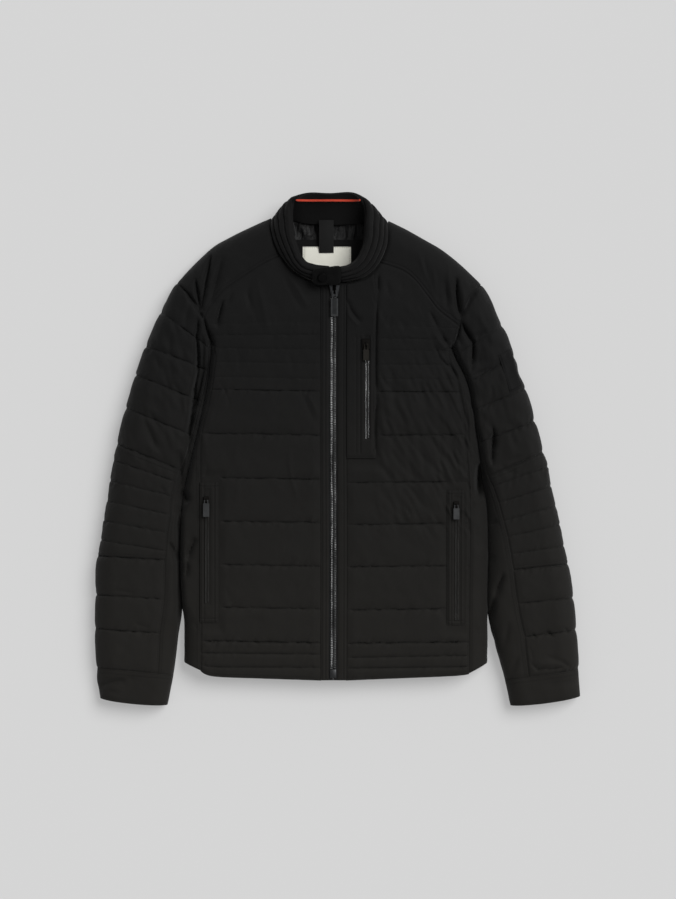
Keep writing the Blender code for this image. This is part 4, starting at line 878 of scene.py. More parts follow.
def shell_look(name, tint, rough, crinkle, shine=0.13):
    """Fine matt polyester with a faint crinkle and hardly any sheen, made paler and warmer towards the hem by
    painted light.
    """
    look = Look(name, Sheen_Weight=shine * 0.4, Sheen_Roughness=0.55, Specular_IOR_Level=shine)
    threads = weave(look, 0.55)
    clouds = look.noise(42.0, 3.0)
    fuzz = look.noise(1.6, 1.0)
    share = clouds * 0.75 + threads * 0.12 + fuzz * 0.25
    plain = look.mix(share, times(tint, 0.72), times(tint, 1.22))
    # painted light: share of the paler, warmer hem tint, rising from mid chest towards the hem
    paler_share = ((PALER_BELOW - look.place()[1]) * 2.1).clamped()
    look.feed("Base Color", look.mix(paler_share, plain, PAINTED_HEM_LIGHT))
    look.feed("Roughness", rough + (clouds - 0.5) * 0.16 + threads * 0.02)
    creased = look.noise(9.0, 3.0, stretch=(1.0, 0.7, 1.0), rough=0.6)
    look.bump(creased * crinkle + threads * 0.035 + fuzz * 0.05)
    return look


def lining_look():
    """Smooth satin that shows its gathers by its gloss."""
    look = Look("lining", Sheen_Weight=0.02, Specular_IOR_Level=0.12)
    clouds = look.noise(16.0, 2.0, stretch=(2.2, 0.6, 1.0))
    threads = twill(look, 0.4)
    look.feed("Base Color", look.mix(clouds, (0.002, 0.002, 0.0022), (0.006, 0.006, 0.006)))
    look.feed("Roughness", 0.3 + clouds * 0.12)
    look.bump(look.noise(5.0, 2.0, stretch=(2.5, 0.5, 1.0)) * 0.5 + threads * 0.02)
    return look


def piping_look():
    """Bright red cord cover, finely ribbed."""
    look = Look("piping", Sheen_Weight=0.2, Specular_IOR_Level=0.3)
    threads = twill(look, 0.8)
    fuzz = look.noise(2.0, 2.0)
    share = fuzz * 0.6 + threads * 0.2
    look.feed("Base Color", look.mix(share, (0.50, 0.035, 0.012), (0.82, 0.085, 0.035)))
    look.feed("Roughness", 0.62 + threads * 0.08)
    look.bump(threads * 0.08 + fuzz * 0.05)
    return look


def label_look():
    """Bare cream ribbon, finely woven, with a slightly firmer edge."""
    look = Look("label", Sheen_Weight=0.1, Specular_IOR_Level=0.35)
    threads = weave(look, 0.45)
    clouds = look.noise(14.0, 2.0)
    share = clouds * 0.7 + threads * 0.1
    look.feed("Base Color", look.mix(share, (0.86, 0.85, 0.75), (0.95, 0.94, 0.85)))
    look.feed("Roughness", 0.5 + threads * 0.05 + clouds * 0.1)
    look.bump(threads * 0.04 + clouds * 0.15)
    return look


def ribbon_look(name, tint, rough):
    """Closely woven tape: a herringbone that turns over in the middle of each rib."""
    look = Look(name, Sheen_Weight=0.08, Specular_IOR_Level=0.3)
    across, along, _ = look.place("UV")
    turn = 2 * math.pi / (0.9 * MM)
    ribs = (abs((across * (math.pi / (2.4 * MM))).sine()) * 1.2 + along * turn).sine()
    fuzz = look.noise(3.0, 2.0)
    look.feed("Base Color", look.mix(ribs * 0.3 + fuzz * 0.5, tint, times(tint, 1.5)))
    look.feed("Roughness", rough + ribs * 0.06)
    look.bump(ribs * 0.07 + fuzz * 0.04)
    return look


def metal_look(name, tint, rough, wear_and_glints):
    """Dark plated metal, paler where hands and cloth rub it, and paler still in broad patches of painted
    glint.
    """
    look = Look(name, Metallic=1.0, Specular_IOR_Level=0.5)
    clouds = look.noise(7.0, 3.0)
    # painted glints: broad patches that are painted paler, as if the metal caught the light there
    slow = look.noise(30.0, 1.0)
    scratches = look.noise(2.2, 2.0, stretch=(3.0, 0.3, 1.0))
    rubbed = (scratches * clouds * 4.0 - 0.75).above(0.0) * wear_and_glints
    # paler share: random tone, real rubbed wear and the painted glints of the broad patches
    paler_share = (clouds * 0.35 + rubbed * 0.8 + (slow - 0.47) * wear_and_glints * 5.0).clamped()
    look.feed("Base Color", look.mix(paler_share, tint, times(tint, 2.2)))
    look.feed("Roughness", rough + clouds * 0.14 - rubbed * 0.08)
    look.bump(scratches * 0.03 + clouds * 0.02)
    return look


def slider_look():
    """Dark plated metal with painted shade in the slot between the arms of the slider."""
    look = Look("slider_metal", Metallic=1.0)
    x, y, _ = look.place()
    clouds = look.noise(5.0, 3.0)
    # painted shade: the recess of the slot is painted near black
    slot = (SLOT_SHADE_HALF * MM - abs(x - SLOT_SHADE_X * MM)).above(0.0) * (y - SLOT_SHADE_FROM * MM).above(0.0)
    plate = look.mix(clouds, (0.03, 0.031, 0.033), (0.06, 0.062, 0.065))
    look.feed("Base Color", look.mix(slot, plate, (0.003, 0.003, 0.003)))
    look.feed("Roughness", 0.36 + slot * 0.3 + clouds * 0.1)
    look.bump(clouds * 0.03 - slot * 0.4)
    return look


def tab_look():
    """Dark plated metal whose sunk middle is darkened by painted shade, which leaves a paler rim."""
    look = Look("tab_metal", Metallic=1.0)
    x, y, _ = look.place()
    clouds = look.noise(6.0, 3.0)
    middle = (SHADED_MIDDLE_HALF.x * MM - abs(x - SHADED_MIDDLE_AT.x * MM)).above(0.0)
    middle = middle * (SHADED_MIDDLE_HALF.y * MM - abs(y - SHADED_MIDDLE_AT.y * MM)).above(0.0)
    rim = look.mix(clouds, (0.040, 0.041, 0.042), (0.062, 0.064, 0.066))
    # painted shade: the sunk middle is a darker copy of the rim's metal
    sunk = look.mix(clouds, (0.022, 0.023, 0.024), (0.036, 0.037, 0.038))
    look.feed("Base Color", look.mix(middle, rim, sunk))
    look.feed("Roughness", 0.38 + clouds * 0.12)
    look.bump(clouds * 0.02 - middle * 0.4)
    return look


def coil_look():
    """Black nylon of a closed zip, faintly glossy."""
    look = Look("coil", Specular_IOR_Level=0.25)
    clouds = look.noise(22.0, 2.0, stretch=(1.0, 0.3, 1.0))
    look.feed("Base Color", look.mix(clouds, (0.010, 0.0097, 0.009), (0.024, 0.023, 0.021)))
    look.feed("Roughness", 0.55 - clouds * 0.25)
    look.bump(look.noise(1.4, 1.0) * 0.05)
    return look


def patch_look():
    """Bare badge of soft, dull rubber."""
    look = Look("patch", Specular_IOR_Level=0.1)
    clouds = look.noise(11.0, 2.0)
    grain = look.noise(0.9, 1.0)
    look.feed("Base Color", look.mix(clouds, (0.003, 0.003, 0.003), (0.005, 0.005, 0.005)))
    look.feed("Roughness", 0.6 + clouds * 0.1)
    look.bump(grain * 0.05 + clouds * 0.2)
    return look


def thread_look():
    """Black sewing thread with a faint twist."""
    look = Look("thread", Sheen_Weight=0.05, Specular_IOR_Level=0.12)
    twist = ((look.place()[0] + look.place()[1]) * (2 * math.pi / (0.7 * MM))).sine()
    look.feed("Base Color", look.mix(twist * 0.4 + 0.5, (0.002, 0.002, 0.002), (0.005, 0.005, 0.005)))
    look.feed("Roughness", 0.55 + twist * 0.08)
    look.bump(twist * 0.05)
    return look


def floor_look():
    """Plain pale paper that lifts its own shadows a little."""
    look = Look("studio floor", Specular_IOR_Level=0.0, Roughness=1.0, Emission_Strength=0.31)
    clouds = look.noise(400.0, 1.0)
    look.feed("Base Color", look.mix(clouds, PALE_GREY, times(PALE_GREY, 1.002)))
    return look


LOOKS = {look.name: look for look in (
    shell_look("shell", BLACK, 0.72, 0.35),
    shell_look("shell_plain", BLACK, 0.74, 0.3),
    shell_look("collar_cloth", (0.0032, 0.0031, 0.0031), 0.76, 0.3),
    shell_look("tab_cloth", (0.0022, 0.0022, 0.0022), 0.78, 0.3, 0.085),
    lining_look(),
    piping_look(),
    label_look(),
    ribbon_look("loop", (0.0025, 0.0025, 0.0025), 0.74),
    ribbon_look("zip_tape", (0.0025, 0.0025, 0.0025), 0.76),
    coil_look(),
    metal_look("zip_metal", (0.088, 0.089, 0.089), 0.32, 0.6),
    metal_look("chest_teeth", (0.145, 0.146, 0.146), 0.32, 0.6),
    metal_look("dark_metal", (0.036, 0.037, 0.038), 0.36, 0.35),
    metal_look("stud", (0.008, 0.008, 0.008), 0.55, 0.1),
    metal_look("hood", (0.008, 0.0075, 0.007), 0.5, 0.2),
    metal_look("chest_metal", (0.016, 0.0148, 0.0132), 0.5, 0.2),
    slider_look(),
    tab_look(),
    patch_look(),
    thread_look(),
)}


# ---------- body ----------

LEAN = {"right": 0.45, "left": -0.55}  # how far the puckers lean over
HEM_BOW = {"right": 8.6, "left": 2.2}  # how far the hem hangs below a straight line
PLAIN_TOP = 62.0  # of a front, from its first quilt line up to the yoke
YOKE_WIDE, YOKE_LONG = 142.0, 92.0
SIDE_LONG = 480.0
BACK_WIDE = 400.0
CURL_STEPS = 11  # places from the fold of the body down to the surface
LOOSE = {"gap": 0.0, "mitre": 0.0}  # for a piece that lies on others and has no seam to clear


def xy(skin):
    """Where the points of a piece are on the page."""
    return skin[0][..., 0], skin[0][..., 1]


def all_round(*offsets):
    """Lines of stitches beside all four borders."""
    return [(edge, offsets) for edge in ("first", "last", "left", "right")]


def joined(*skins):
    """Grids of places and outward directions, one below the other."""
    return tuple(np.concatenate(parts, axis=0) for parts in zip(*skins))


def guard_line(side, y):
    return ZIP.x_at(y) + SIGN[side] * GUARD_OUTER[side]


def front_edge(side, y):
    """Side border of a front at a height on the page: the armhole, then the side seam."""
    armpit = SEAM[side].line[0][1]
    return np.where(y > armpit, ARM[side].x_at(y), SEAM[side].x_at(y))


def front_spots(side, t, c):
    """Spots of a front: t counts the quilt lines, from -1 at the yoke; c runs from the side to the zip."""
    lines = FRONT_LINES[side]
    low = np.maximum(t, 0.0)
    numbers = np.arange(len(lines))
    side_y = np.interp(low, numbers, [line.side for line in lines])
    middle_y = np.interp(low, numbers, [line.middle for line in lines])
    edge = front_edge(side, side_y)
    x = edge + (guard_line(side, middle_y) - edge) * c
    y = side_y + (middle_y - side_y) * c
    near_hem = np.clip(low - (len(lines) - 3), 0, 2) / 2
    y = y - HEM_BOW[side] * near_hem * (1 - c) * (1 - np.exp(-c / 0.05))
    up = np.clip(-t, 0, 1)
    border = np.concatenate([YOKE[side].line, FRONT_NECK[side].line[1:] + np.array([0.0, 2.2])])
    border = border[np.argsort(border[:, 0])]
    corner = YOKE_CORNER[side]
    top_x = corner.x + (guard_line(side, ZIP_TOP) - corner.x) * c
    top_y = np.interp(top_x, border[:, 0], border[:, 1])
    return x + (top_x - x) * up, y + (top_y - y) * up


def levels(widths):
    """Rows of a quilted piece, counted in stitch lines and closer together beside them."""
    rows = []
    for line, wide in enumerate(widths):
        share = np.arange(max(5, round(wide / FINE))) / max(5, round(wide / FINE))
        rows.append(line + share - 0.08 * np.sin(2 * math.pi * share))
    return np.append(np.concatenate(rows), len(widths))


def whole(rows):
    """The places in a list of rows that fall on a stitch line."""
    return [i for i, row in enumerate(rows) if abs(row - round(row)) < 1e-6]


OVERLAY_MARGIN = 9.0
ROW_REACH = 9.0  # the swelling stops this far above and below what lies on a front


def under_overlay(side, x, y):
    """1 where nothing lies on the front, 0 below a welt or the chest panel."""
    welt = HAND_WELT[side]
    beside = np.maximum.reduce([welt.x0 - x, x - welt.x1, welt.y0 - y - ROW_REACH, y - welt.y1 - ROW_REACH])
    if side == "left":
        low_end = CHEST_PANEL_EDGE[-1]
        beside = np.minimum(beside, np.maximum(x - low_end[0], low_end[1] - y - ROW_REACH))
    return np.clip((beside - 1.0) / OVERLAY_MARGIN, 0, 1)


def build_front(side):
    lines = FRONT_LINES[side]
    widths = -np.diff([(line.side + line.middle) / 2 for line in lines])
    puffs = [line.puff for line in lines[1:]]
    rows = np.concatenate([-even((1, 0), PLAIN_TOP / FINE)[:-1], levels(widths)])
    wide = abs(float(guard_line(side, 0.0) - front_edge(side, 0.0)))
    t, c = np.meshgrid(rows, closer(wide / FINE), indexing="ij")
    x, y = front_spots(side, t, c)
    along = c * wide
    seed = 10 if side == "right" else 30
    lift = quilting(np.maximum(t, 0), along, widths, puffs, seed, LEAN[side])
    above = np.maximum(-t, 0) * PLAIN_TOP
    plain = 0.55 * gathers(along, above, seed + 3, LEAN[side]) - 0.6 * np.exp(-((above / 1.1) ** 2))
    lift = np.where(t < 0, plain, lift) * fade(c, 0.05) * fade(1 - c, 0.06) * under_overlay(side, x, y)
    lift += soft_height(x, y)
    by_collar = np.clip((FRONT_NECK[side].line[0][0] * SIGN[side] + 2 - x * SIGN[side]) / 8.0, 0, 1)
    lift -= 4.0 * by_collar * np.exp(-((np.clip(1 + t, 0, 9) * PLAIN_TOP / 3.6) ** 2))
    sewn = [("left", (1.8,)), ("last", (5.0,))]
    stitched = [i for i in whole(rows) if rows[i] >= 0 and i < len(rows) - 1]
    cloth("front_" + side, top_skin(x, y), lift, "shell", sewn=sewn, lines=stitched)


def outward_of_shoulder(shoulder, share):
    return shoulder.square_to(share, (0.0, 1.0))


def curl_height(along, turn, line):
    """Small creases on the curled side of a piece, dying out on the surface."""
    wave = 0.9 * drift(along / 16.0, turn * 2.2, line) + 0.4 * drift(along / 6.5, turn * 1.5, line + 11)
    return wave * np.sin(math.pi * np.clip(1 - turn, 0, 1) * 0.5) * np.clip((1 - turn) * 3, 0, 1)


def build_yoke(side):
    shoulder = Path(SHOULDER[side][::-1])
    arm, neck, seam = ARM[side], NECK[side], YOKE[side]
    corner = arm.share_of(YOKE_CORNER[side])
    u = even((0, 1), YOKE_WIDE / FINE)
    top_u = np.broadcast_to(shoulder.at(u), (1, len(u), 2))
    out = outward_of_shoulder(shoulder, u)[None]
    turns = even((1, 0), CURL_STEPS)[:-1, None]
    curl = side_skin(np.repeat(top_u, len(turns), 0), np.repeat(out, len(turns), 0), turns + 0 * u)
    v = closer(YOKE_LONG / FINE)[:, None]
    w = u[None, :, None]
    z = v[..., None]
    tucked = np.clip(v * 5, 0, 1) * np.array([-SIGN[side] * 2.8, 0.0])
    spot = (1 - z) * top_u + z * seam.at(u)[None]
    spot = spot + (1 - w) * arm.at(v * corner) + w * (neck.at(v) + tucked[:, None])
    spot = spot - (1 - w) * (1 - z) * shoulder.at(0.0) - w * (1 - z) * shoulder.at(1.0)
    spot = spot - (1 - w) * z * seam.at(0.0) - w * z * seam.at(1.0)
    flat = top_skin(spot[..., 0], spot[..., 1], np.broadcast_to(out, spot.shape))
    bend = curl_height(u[None] * YOKE_WIDE, turns + 0 * u, 40)
    skin = joined(curl, flat)
    lift = np.concatenate([bend, soft_height(spot[..., 0], spot[..., 1])])
    lift -= 4.0 * np.exp(-(((1 - u[None]) * YOKE_WIDE / 3.6) ** 2))
    sewn = [("last", (1.5, 6.2)), ("left", (1.8,))]
    push = outline_height(*xy(skin))
    cloth("yoke_" + side, skin, lift, "shell_plain", sewn=sewn, push=push)


PRESS = 1.7  # how far body and sleeve are pressed together where they touch


def closing(x, y, side):
    """Presses the body side and the sleeve together where they touch."""
    near = np.abs(x - BODY_EDGE[side].x_at(y))
    touch = np.clip((y + 258.0) / 18.0, 0, 1) * np.clip((SEAM[side].line[0][1] + 16.0 - y) / 12.0, 0, 1)
    return PRESS * touch * np.exp(-((near / 9.0) ** 2))


def build_side(side):
    seam, fold = SEAM[side], BODY_EDGE[side]
    share = even((-0.022, 1.0), SIDE_LONG / (FINE * 1.2))[:, None]
    over = np.minimum(share, 0.0)
    share = np.maximum(share, 0.0)
    out = fold.square_to(share[:, 0], (SIGN[side], 0.0))[:, None]
    edge = fold.at(share) + over[..., None] * fold.length * unit(fold.line[4] - fold.line[0])
    inside = seam.at(share) + over[..., None] * seam.length * unit(seam.line[4] - seam.line[0])
    inside = inside - np.array([SIGN[side] * 1.6, 0.0])
    turns = np.broadcast_to(even((1, 0), CURL_STEPS)[None, :-1], (len(share), CURL_STEPS - 1))
    ones = np.ones((1, turns.shape[1], 1))
    curl = side_skin(edge * ones, out * ones, turns)
    part = even((0, 1), 15)[None, :, None] ** 1.3
    spot = edge + (inside - edge) * part
    flat = top_skin(spot[..., 0], spot[..., 1], np.broadcast_to(out, spot.shape))
    skin = tuple(np.concatenate(pair, axis=1) for pair in zip(curl, flat))
    lift = np.concatenate([
        curl_height(share * SIDE_LONG + 0 * turns, turns, 44), soft_height(spot[..., 0], spot[..., 1]),
    ], axis=1)
    lift += 25.0 * over
    push = closing(*xy(skin), side)
    cloth("side_" + side, skin, lift, "shell_plain", sewn=[("right", (3.0, 7.0))], rolled=1.5, push=push)


def floor_border(side):
    """Border of the back on the surface, from the hem up to the neck, clear of the curled sides."""
    fold, arm = BODY_EDGE[side], ARM[side]
    shares = np.linspace(1.0, 0.0, 17)
    spots = list(fold.at(shares) - fold.square_to(shares, (SIGN[side], 0.0)) * (TUCK + 0.3))
    spots += [arm.at(s) for s in (0.92, 0.75, 0.55, 0.35, 0.15)]
    shoulder = Path(SHOULDER[side][::-1])
    shares = np.array((0.03, 0.25, 0.5, 0.75, 0.97))
    spots += list(shoulder.at(shares) - outward_of_shoulder(shoulder, shares) * TUCK)
    return Path(spots, steps=4)


HEM_DROP = 17.0  # the hem of the back bows down this far between the sides


def build_back():
    right, left = (floor_border(side).line[:, None, :] for side in SIDES)
    part = even((0, 1), BACK_WIDE / COARSE)[None, :, None]
    spot = right + (left - right) * part
    row = np.arange(len(right))[:, None] / 8.0
    drop = HEM_DROP * np.maximum(0.0, 1 - row / 2)
    y = spot[..., 1] - drop * np.sin(math.pi * part[..., 0]) ** 0.6
    place = np.stack([spot[..., 0], y, np.zeros_like(y)], axis=-1)
    outward = np.broadcast_to(np.array([0.0, 0.0, -1.0]), place.shape)
    cloth("back", (place, outward), 0.0, "shell_plain", rolled=0.0, rests_on=(), mitre=0.2)


# ---------- sleeves ----------

SLEEVE_WIDE = 100.0
ROW_STEP = 40.0  # mean distance from row to row down a sleeve
CURLED_WIDE, QUILTED_WIDE = 26.0, 95.0  # of the quilted pieces, below and above their outer fold
PRESS_ROWS = 13.0  # body and sleeve press on each other down to this row


def armhole_bow(side, share):
    arm = ARM[side]
    straight = arm.at(0.0) + (arm.at(1.0) - arm.at(0.0)) * share[..., None]
    return arm.at(share) - straight


CUFF_BOW = 3.0  # the open end of a cuff hangs below a straight line


def sleeve_skin(side, at, around):
    """Cloth of a sleeve at rows and places around it, from -1 (surface, outer) over the folds 0 and 1 to
    2 and 3 (surface)."""
    outer, inner = SILHOUETTE[side], SLEEVE_FOLD[side]
    numbers = np.arange(len(SLEEVE[side]))
    outer_share = np.interp(at, numbers, outer.marks[len(SHOULDER[side]) - 1:])
    inner_share = np.interp(at, numbers, inner.marks)
    shape = (*around.shape, 2)
    a = np.broadcast_to(outer.at(outer_share)[:, None], shape)
    b = np.broadcast_to(inner.at(inner_share)[:, None], shape)
    out_a = np.broadcast_to(outer.square_to(outer_share, (SIGN[side], 0.0))[:, None], shape)
    out_b = np.broadcast_to(inner.square_to(inner_share, (-SIGN[side], 0.0))[:, None], shape)
    bow = np.clip(1.0 - at, 0, 1)[:, None, None]
    share = np.clip(around, 0, 1)
    under = np.array([-SIGN[side] * 2.2, 0.6]) * np.clip(1 - at * 12, 0, 1)[:, None, None]
    a, b = a + under, b + under
    spot = a + (b - a) * share[..., None] + bow * armhole_bow(side, share)
    cuff = np.clip(at - SLEEVE_PIECES["cuff"][0], 0, 1)[:, None]
    spot[..., 1] -= CUFF_BOW * cuff * np.sin(math.pi * share) ** 0.7
    place, outward = top_skin(spot[..., 0], spot[..., 1], np.where(share[..., None] < 0.5, out_a, out_b))
    start, end = b - out_b * TUCK, a - out_a * TUCK
    low = np.clip(around - 2, 0, 1)
    spot = start + (end - start) * low[..., None] + bow * armhole_bow(side, 1 - low)
    ground = np.concatenate([spot, np.zeros((*around.shape, 1))], axis=-1)
    for here, skin in (
        (around < 0, side_skin(a, out_a, np.clip(-around, 0, 1))),
        ((around > 1) & (around <= 2), side_skin(b, out_b, np.clip(around - 1, 0, 1))),
        (around > 2, (ground, np.broadcast_to(np.array([0.0, 0.0, -1.0]), ground.shape))),
    ):
        place = np.where(here[..., None], skin[0], place)
        outward = np.where(here[..., None], skin[1], outward)
    return place, outward


def seam_share(side, at):
    table = SLEEVE[side]
    return np.interp(at, np.arange(len(table)), [row.seam for row in table])


def row_gaps(side):
    """Distance between the rows of a sleeve, half way across it."""
    rows = np.array([((r.outer_x + r.inner_x) / 2, (r.outer_y + r.inner_y) / 2) for r in SLEEVE[side]])
    return np.linalg.norm(np.diff(rows, axis=0), axis=1)


def sleeve_relief(side, at, c):
    """Quilting of a sleeve; c runs from -1 on the surface over 0 at the outer fold to 1 at the seam."""
    table = SLEEVE[side]
    puffs = [row.puff for row in table[1:]]
    seed = 50 if side == "right" else 56
    along = np.where(c < 0, c * CURLED_WIDE, c * QUILTED_WIDE)
    lift = quilting(at + 0 * c, along, row_gaps(side), puffs, seed, LEAN[side])
    ends = np.where(c < 0, np.clip(1 + c, 0, 1) ** 0.8, fade(1 - c, 0.12))
    return lift * ends


def build_sleeve_piece(name, side):
    first, last = SLEEVE_PIECES[name]
    quilted = name != "cuff"
    gaps = row_gaps(side)[first:last]
    rows = first + (levels(gaps) if quilted else even((0, 1), gaps[0] / FINE))
    across = [even((-1, 0), 13)[:-1], closer(SLEEVE_WIDE / FINE)]
    if not quilted:
        across += [even((1, 2), 13)[1:], even((2, 3), 12)[1:]]
    at, c = np.meshgrid(rows, np.concatenate(across), indexing="ij")
    around = np.where(c > 0, c * seam_share(side, at), c) if quilted else c
    skin = sleeve_skin(side, rows, around)
    top = np.clip(1 + np.minimum(c, 0), 0, 1) * np.clip(2 - around, 0, 1)
    soft = soft_height(*xy(skin)) * top**2
    soft = soft * np.clip(0.25 + skin[1][..., 2] * 1.3, 0, 1)
    curl = curl_height(at * ROW_STEP, np.clip(-c, 0, 1), 24 + first) * (c < 0)
    lift = soft + curl + (sleeve_relief(side, at, c) if quilted else 0.0)
    if not quilted:
        lift += curl_height(at * ROW_STEP, np.clip(c - 1, 0, 1), 14) * (c > 1)
        lift += cuff_relief(side, at - first, c / seam_share(side, at)) * np.clip(2 - c, 0, 1)
    sewn = {
        "upper_sleeve": [("first", (1.8,))],
        "elbow_panel": [("first", (1.6, 6.0)), ("last", (1.6, 6.0)), ("right", (1.8,))],
        "forearm": [("right", (1.8,))],
        "cuff": [("first", (1.6, 6.4)), ("last", (4.0,))],
    }[name]
    stitched = [i for i in whole(rows) if 0 < i < len(rows) - 1] if quilted else []
    slot = "shell" if quilted else "shell_plain"
    cloth(
        name + "_" + side, skin, lift, slot, sewn=sewn, lines=stitched,
        rests_on=("under_sleeve_" + side,) if quilted else (), push=outline_height(*xy(skin)),
    )


def cuff_relief(side, part, c):
    """Soft hollows of an empty cuff."""
    wave = -1.4 * np.exp(-(((part - 0.45 + 0.25 * c) / 0.16) ** 2)) * np.clip(1 - abs(c - 0.3) / 0.6, 0, 1)
    return wave + 0.5 * drift(c * 4 + 3, part * 2.4, 37 if side == "right" else 39)


def build_under_sleeve(side):
    table = SLEEVE[side]
    last = SLEEVE_PIECES["cuff"][0]
    rows = even((0, last), row_gaps(side)[:last].sum() / (FINE * 1.4))
    widest = 1 - min(row.seam for row in table)
    top = even((0, 1), max(6, widest * SLEEVE_WIDE / FINE))[:-1]
    around = [(seam_share(side, rows) - 0.016)[:, None] * (1 - top) + top]
    for low, high, count in ((1, 2, 13), (2, 3, 12)):
        around.append(np.broadcast_to(even((low, high), count)[:-1], (len(rows), count - 1)))
    around.append(np.full((len(rows), 1), 3.0))
    around = np.concatenate(around, axis=1)
    at = rows[:, None] + 0 * around
    skin = sleeve_skin(side, rows, around)
    on_top = np.clip(2 - around, 0, 1)
    soft = soft_height(*xy(skin)) * on_top**2
    curl = curl_height(at * ROW_STEP, np.clip(around - 1, 0, 1), 14) * (around > 1)
    pressed = PRESS * np.exp(-(((around - 1) / 0.3) ** 2)) * np.clip((PRESS_ROWS - at) / 0.5, 0, 1)
    pressed = pressed * np.clip(0.5 + at * 4, 0, 1)
    cloth(
        "under_sleeve_" + side, skin, soft + curl, "shell_plain",
        sewn=[("left", (3.2, 7.2))], rests_on=(), rolled=1.5, push=pressed,
    )


SETTLED = 40  # times the patch is drawn straight over the channels below it


def build_patch():
    """Bare badge on the outer side of the left sleeve, sewn on round its edge."""
    at, c = np.meshgrid(even(PATCH_ROWS, 44), even(PATCH_ACROSS, 20), indexing="ij")
    skin = sleeve_skin("left", at[:, 0], c * SLEEVE["left"][2].seam)
    relief = sleeve_relief("left", at, c) + soft_height(*xy(skin))
    relief += outline_height(*xy(skin))
    for _ in range(SETTLED):
        relief[1:-1] = np.maximum(relief[1:-1], (relief[2:] + relief[:-2]) / 2)
    low = relief + LAY_GAP
    cloth(
        "sleeve_patch", skin, low + 0.9, "patch", low, sewn=all_round(1.6), rolled=0.5,
        rests_on=("upper_sleeve_left",), **LOOSE,
    )


# ---------- collar and neck ----------

RIB_STEPS = 10  # points from one line of the ribbed collar to the next
SECTION_STEP = 21.0  # mean distance between the sections of the collar
PIPING_X, PIPING_Y = (-63.0, 33.0), 373.2  # from end to end, and the line that it shows on

def collar_skin(low_share, count, steps, high_share=1.0):
    """Grid along the collar (rows) and up from its seam (columns), with the outward direction."""
    seam = Path([section[:3] for section in COLLAR])
    top = Path([section[3:] for section in COLLAR])
    numbers = np.arange(len(COLLAR))
    at = np.linspace(0, len(COLLAR) - 1, count)
    low = seam.at(np.interp(at, numbers, seam.marks))
    high = top.at(np.interp(at, numbers, top.marks))
    ahead = top.at(np.interp(at + 0.5, numbers, top.marks))
    behind = top.at(np.interp(at - 0.5, numbers, top.marks))
    outward = unit(np.cross(high - low, ahead - behind))[:, None]
    step = np.linspace(low_share, high_share, steps)[None, :, None]
    bow = COLLAR_BOW * np.sin(math.pi * step)
    place = low[:, None] + (high - low)[:, None] * step + outward * bow
    return place, np.broadcast_to(outward, place.shape), at, step[..., 0]


def build_collar():
    place, outward, at, step = collar_skin(0.0, 220, COLLAR_RIBS * RIB_STEPS + 1)
    rib = step * COLLAR_RIBS
    line = np.floor(np.minimum(rib, COLLAR_RIBS - 1e-6)).astype(int)
    share = rib - line
    along = at[:, None] * SECTION_STEP
    lift = RIB * (1 - np.abs(2 * share - 1) ** 2.4) * (1 + 0.2 * ripple(along / 24.0, line + 3))
    lift = lift - 1.7 * np.exp(-((np.minimum(share, 1 - share) * 9.0 / 1.2) ** 2))
    lift = lift + 0.35 * ripple(along / 7.0 + 2 * share, line + 12) * swell(share)
    lift = lift + 0.5 * drift(along / 30.0, step * 2, 8)
    edges = range(RIB_STEPS, COLLAR_RIBS * RIB_STEPS, RIB_STEPS)
    cloth(
        "collar_outer", (place, outward), lift, "shell", low=-2.6, mitre=0.2, pattern="collar_cloth",
        rests_on=("yoke_right", "yoke_left"), held="stretched",
    )
    SEWN["collar_outer"] = [(place[1:-1, i] + outward[1:-1, i] * -0.5, outward[1:-1, i]) for i in edges]
    parts = (("collar_facing", PIPING_SHARE, 1.0, 8), ("collar_band", 0.0, PIPING_SHARE, 20))
    for name, low_share, high_share, steps in parts:
        place, outward, at, step = collar_skin(low_share, 190, steps, high_share)
        lift = -4.6 + 0.3 * drift(at[:, None] * 0.9, step * 3, 17)
        cloth(
            name, (place, outward), np.minimum(lift, -4.3), "shell_plain", low=-6.6, mitre=0.2, rolled=0.0,
            pattern="collar_cloth", rests_on=("collar_outer",), held="stretched", nodes=("collar_inner",),
        )


def build_piping():
    """Corded edge between the two collar pieces at the back."""
    place, outward, at, _ = collar_skin(0.55, 400, 60)
    inner = (place - outward * 7.2)[(at > COLLAR_BACK[0] - 0.4) & (at < COLLAR_BACK[1] + 0.4)]
    spots = []
    for row in inner:
        spots.append([np.interp(PIPING_Y, row[:, 1], row[:, k]) for k in range(3)])
    spots = np.array(spots)
    showing = (spots[:, 0] > PIPING_X[0]) & (spots[:, 0] < PIPING_X[1])
    tube("collar_piping", spots[showing], (1.9, 1.3), "piping")


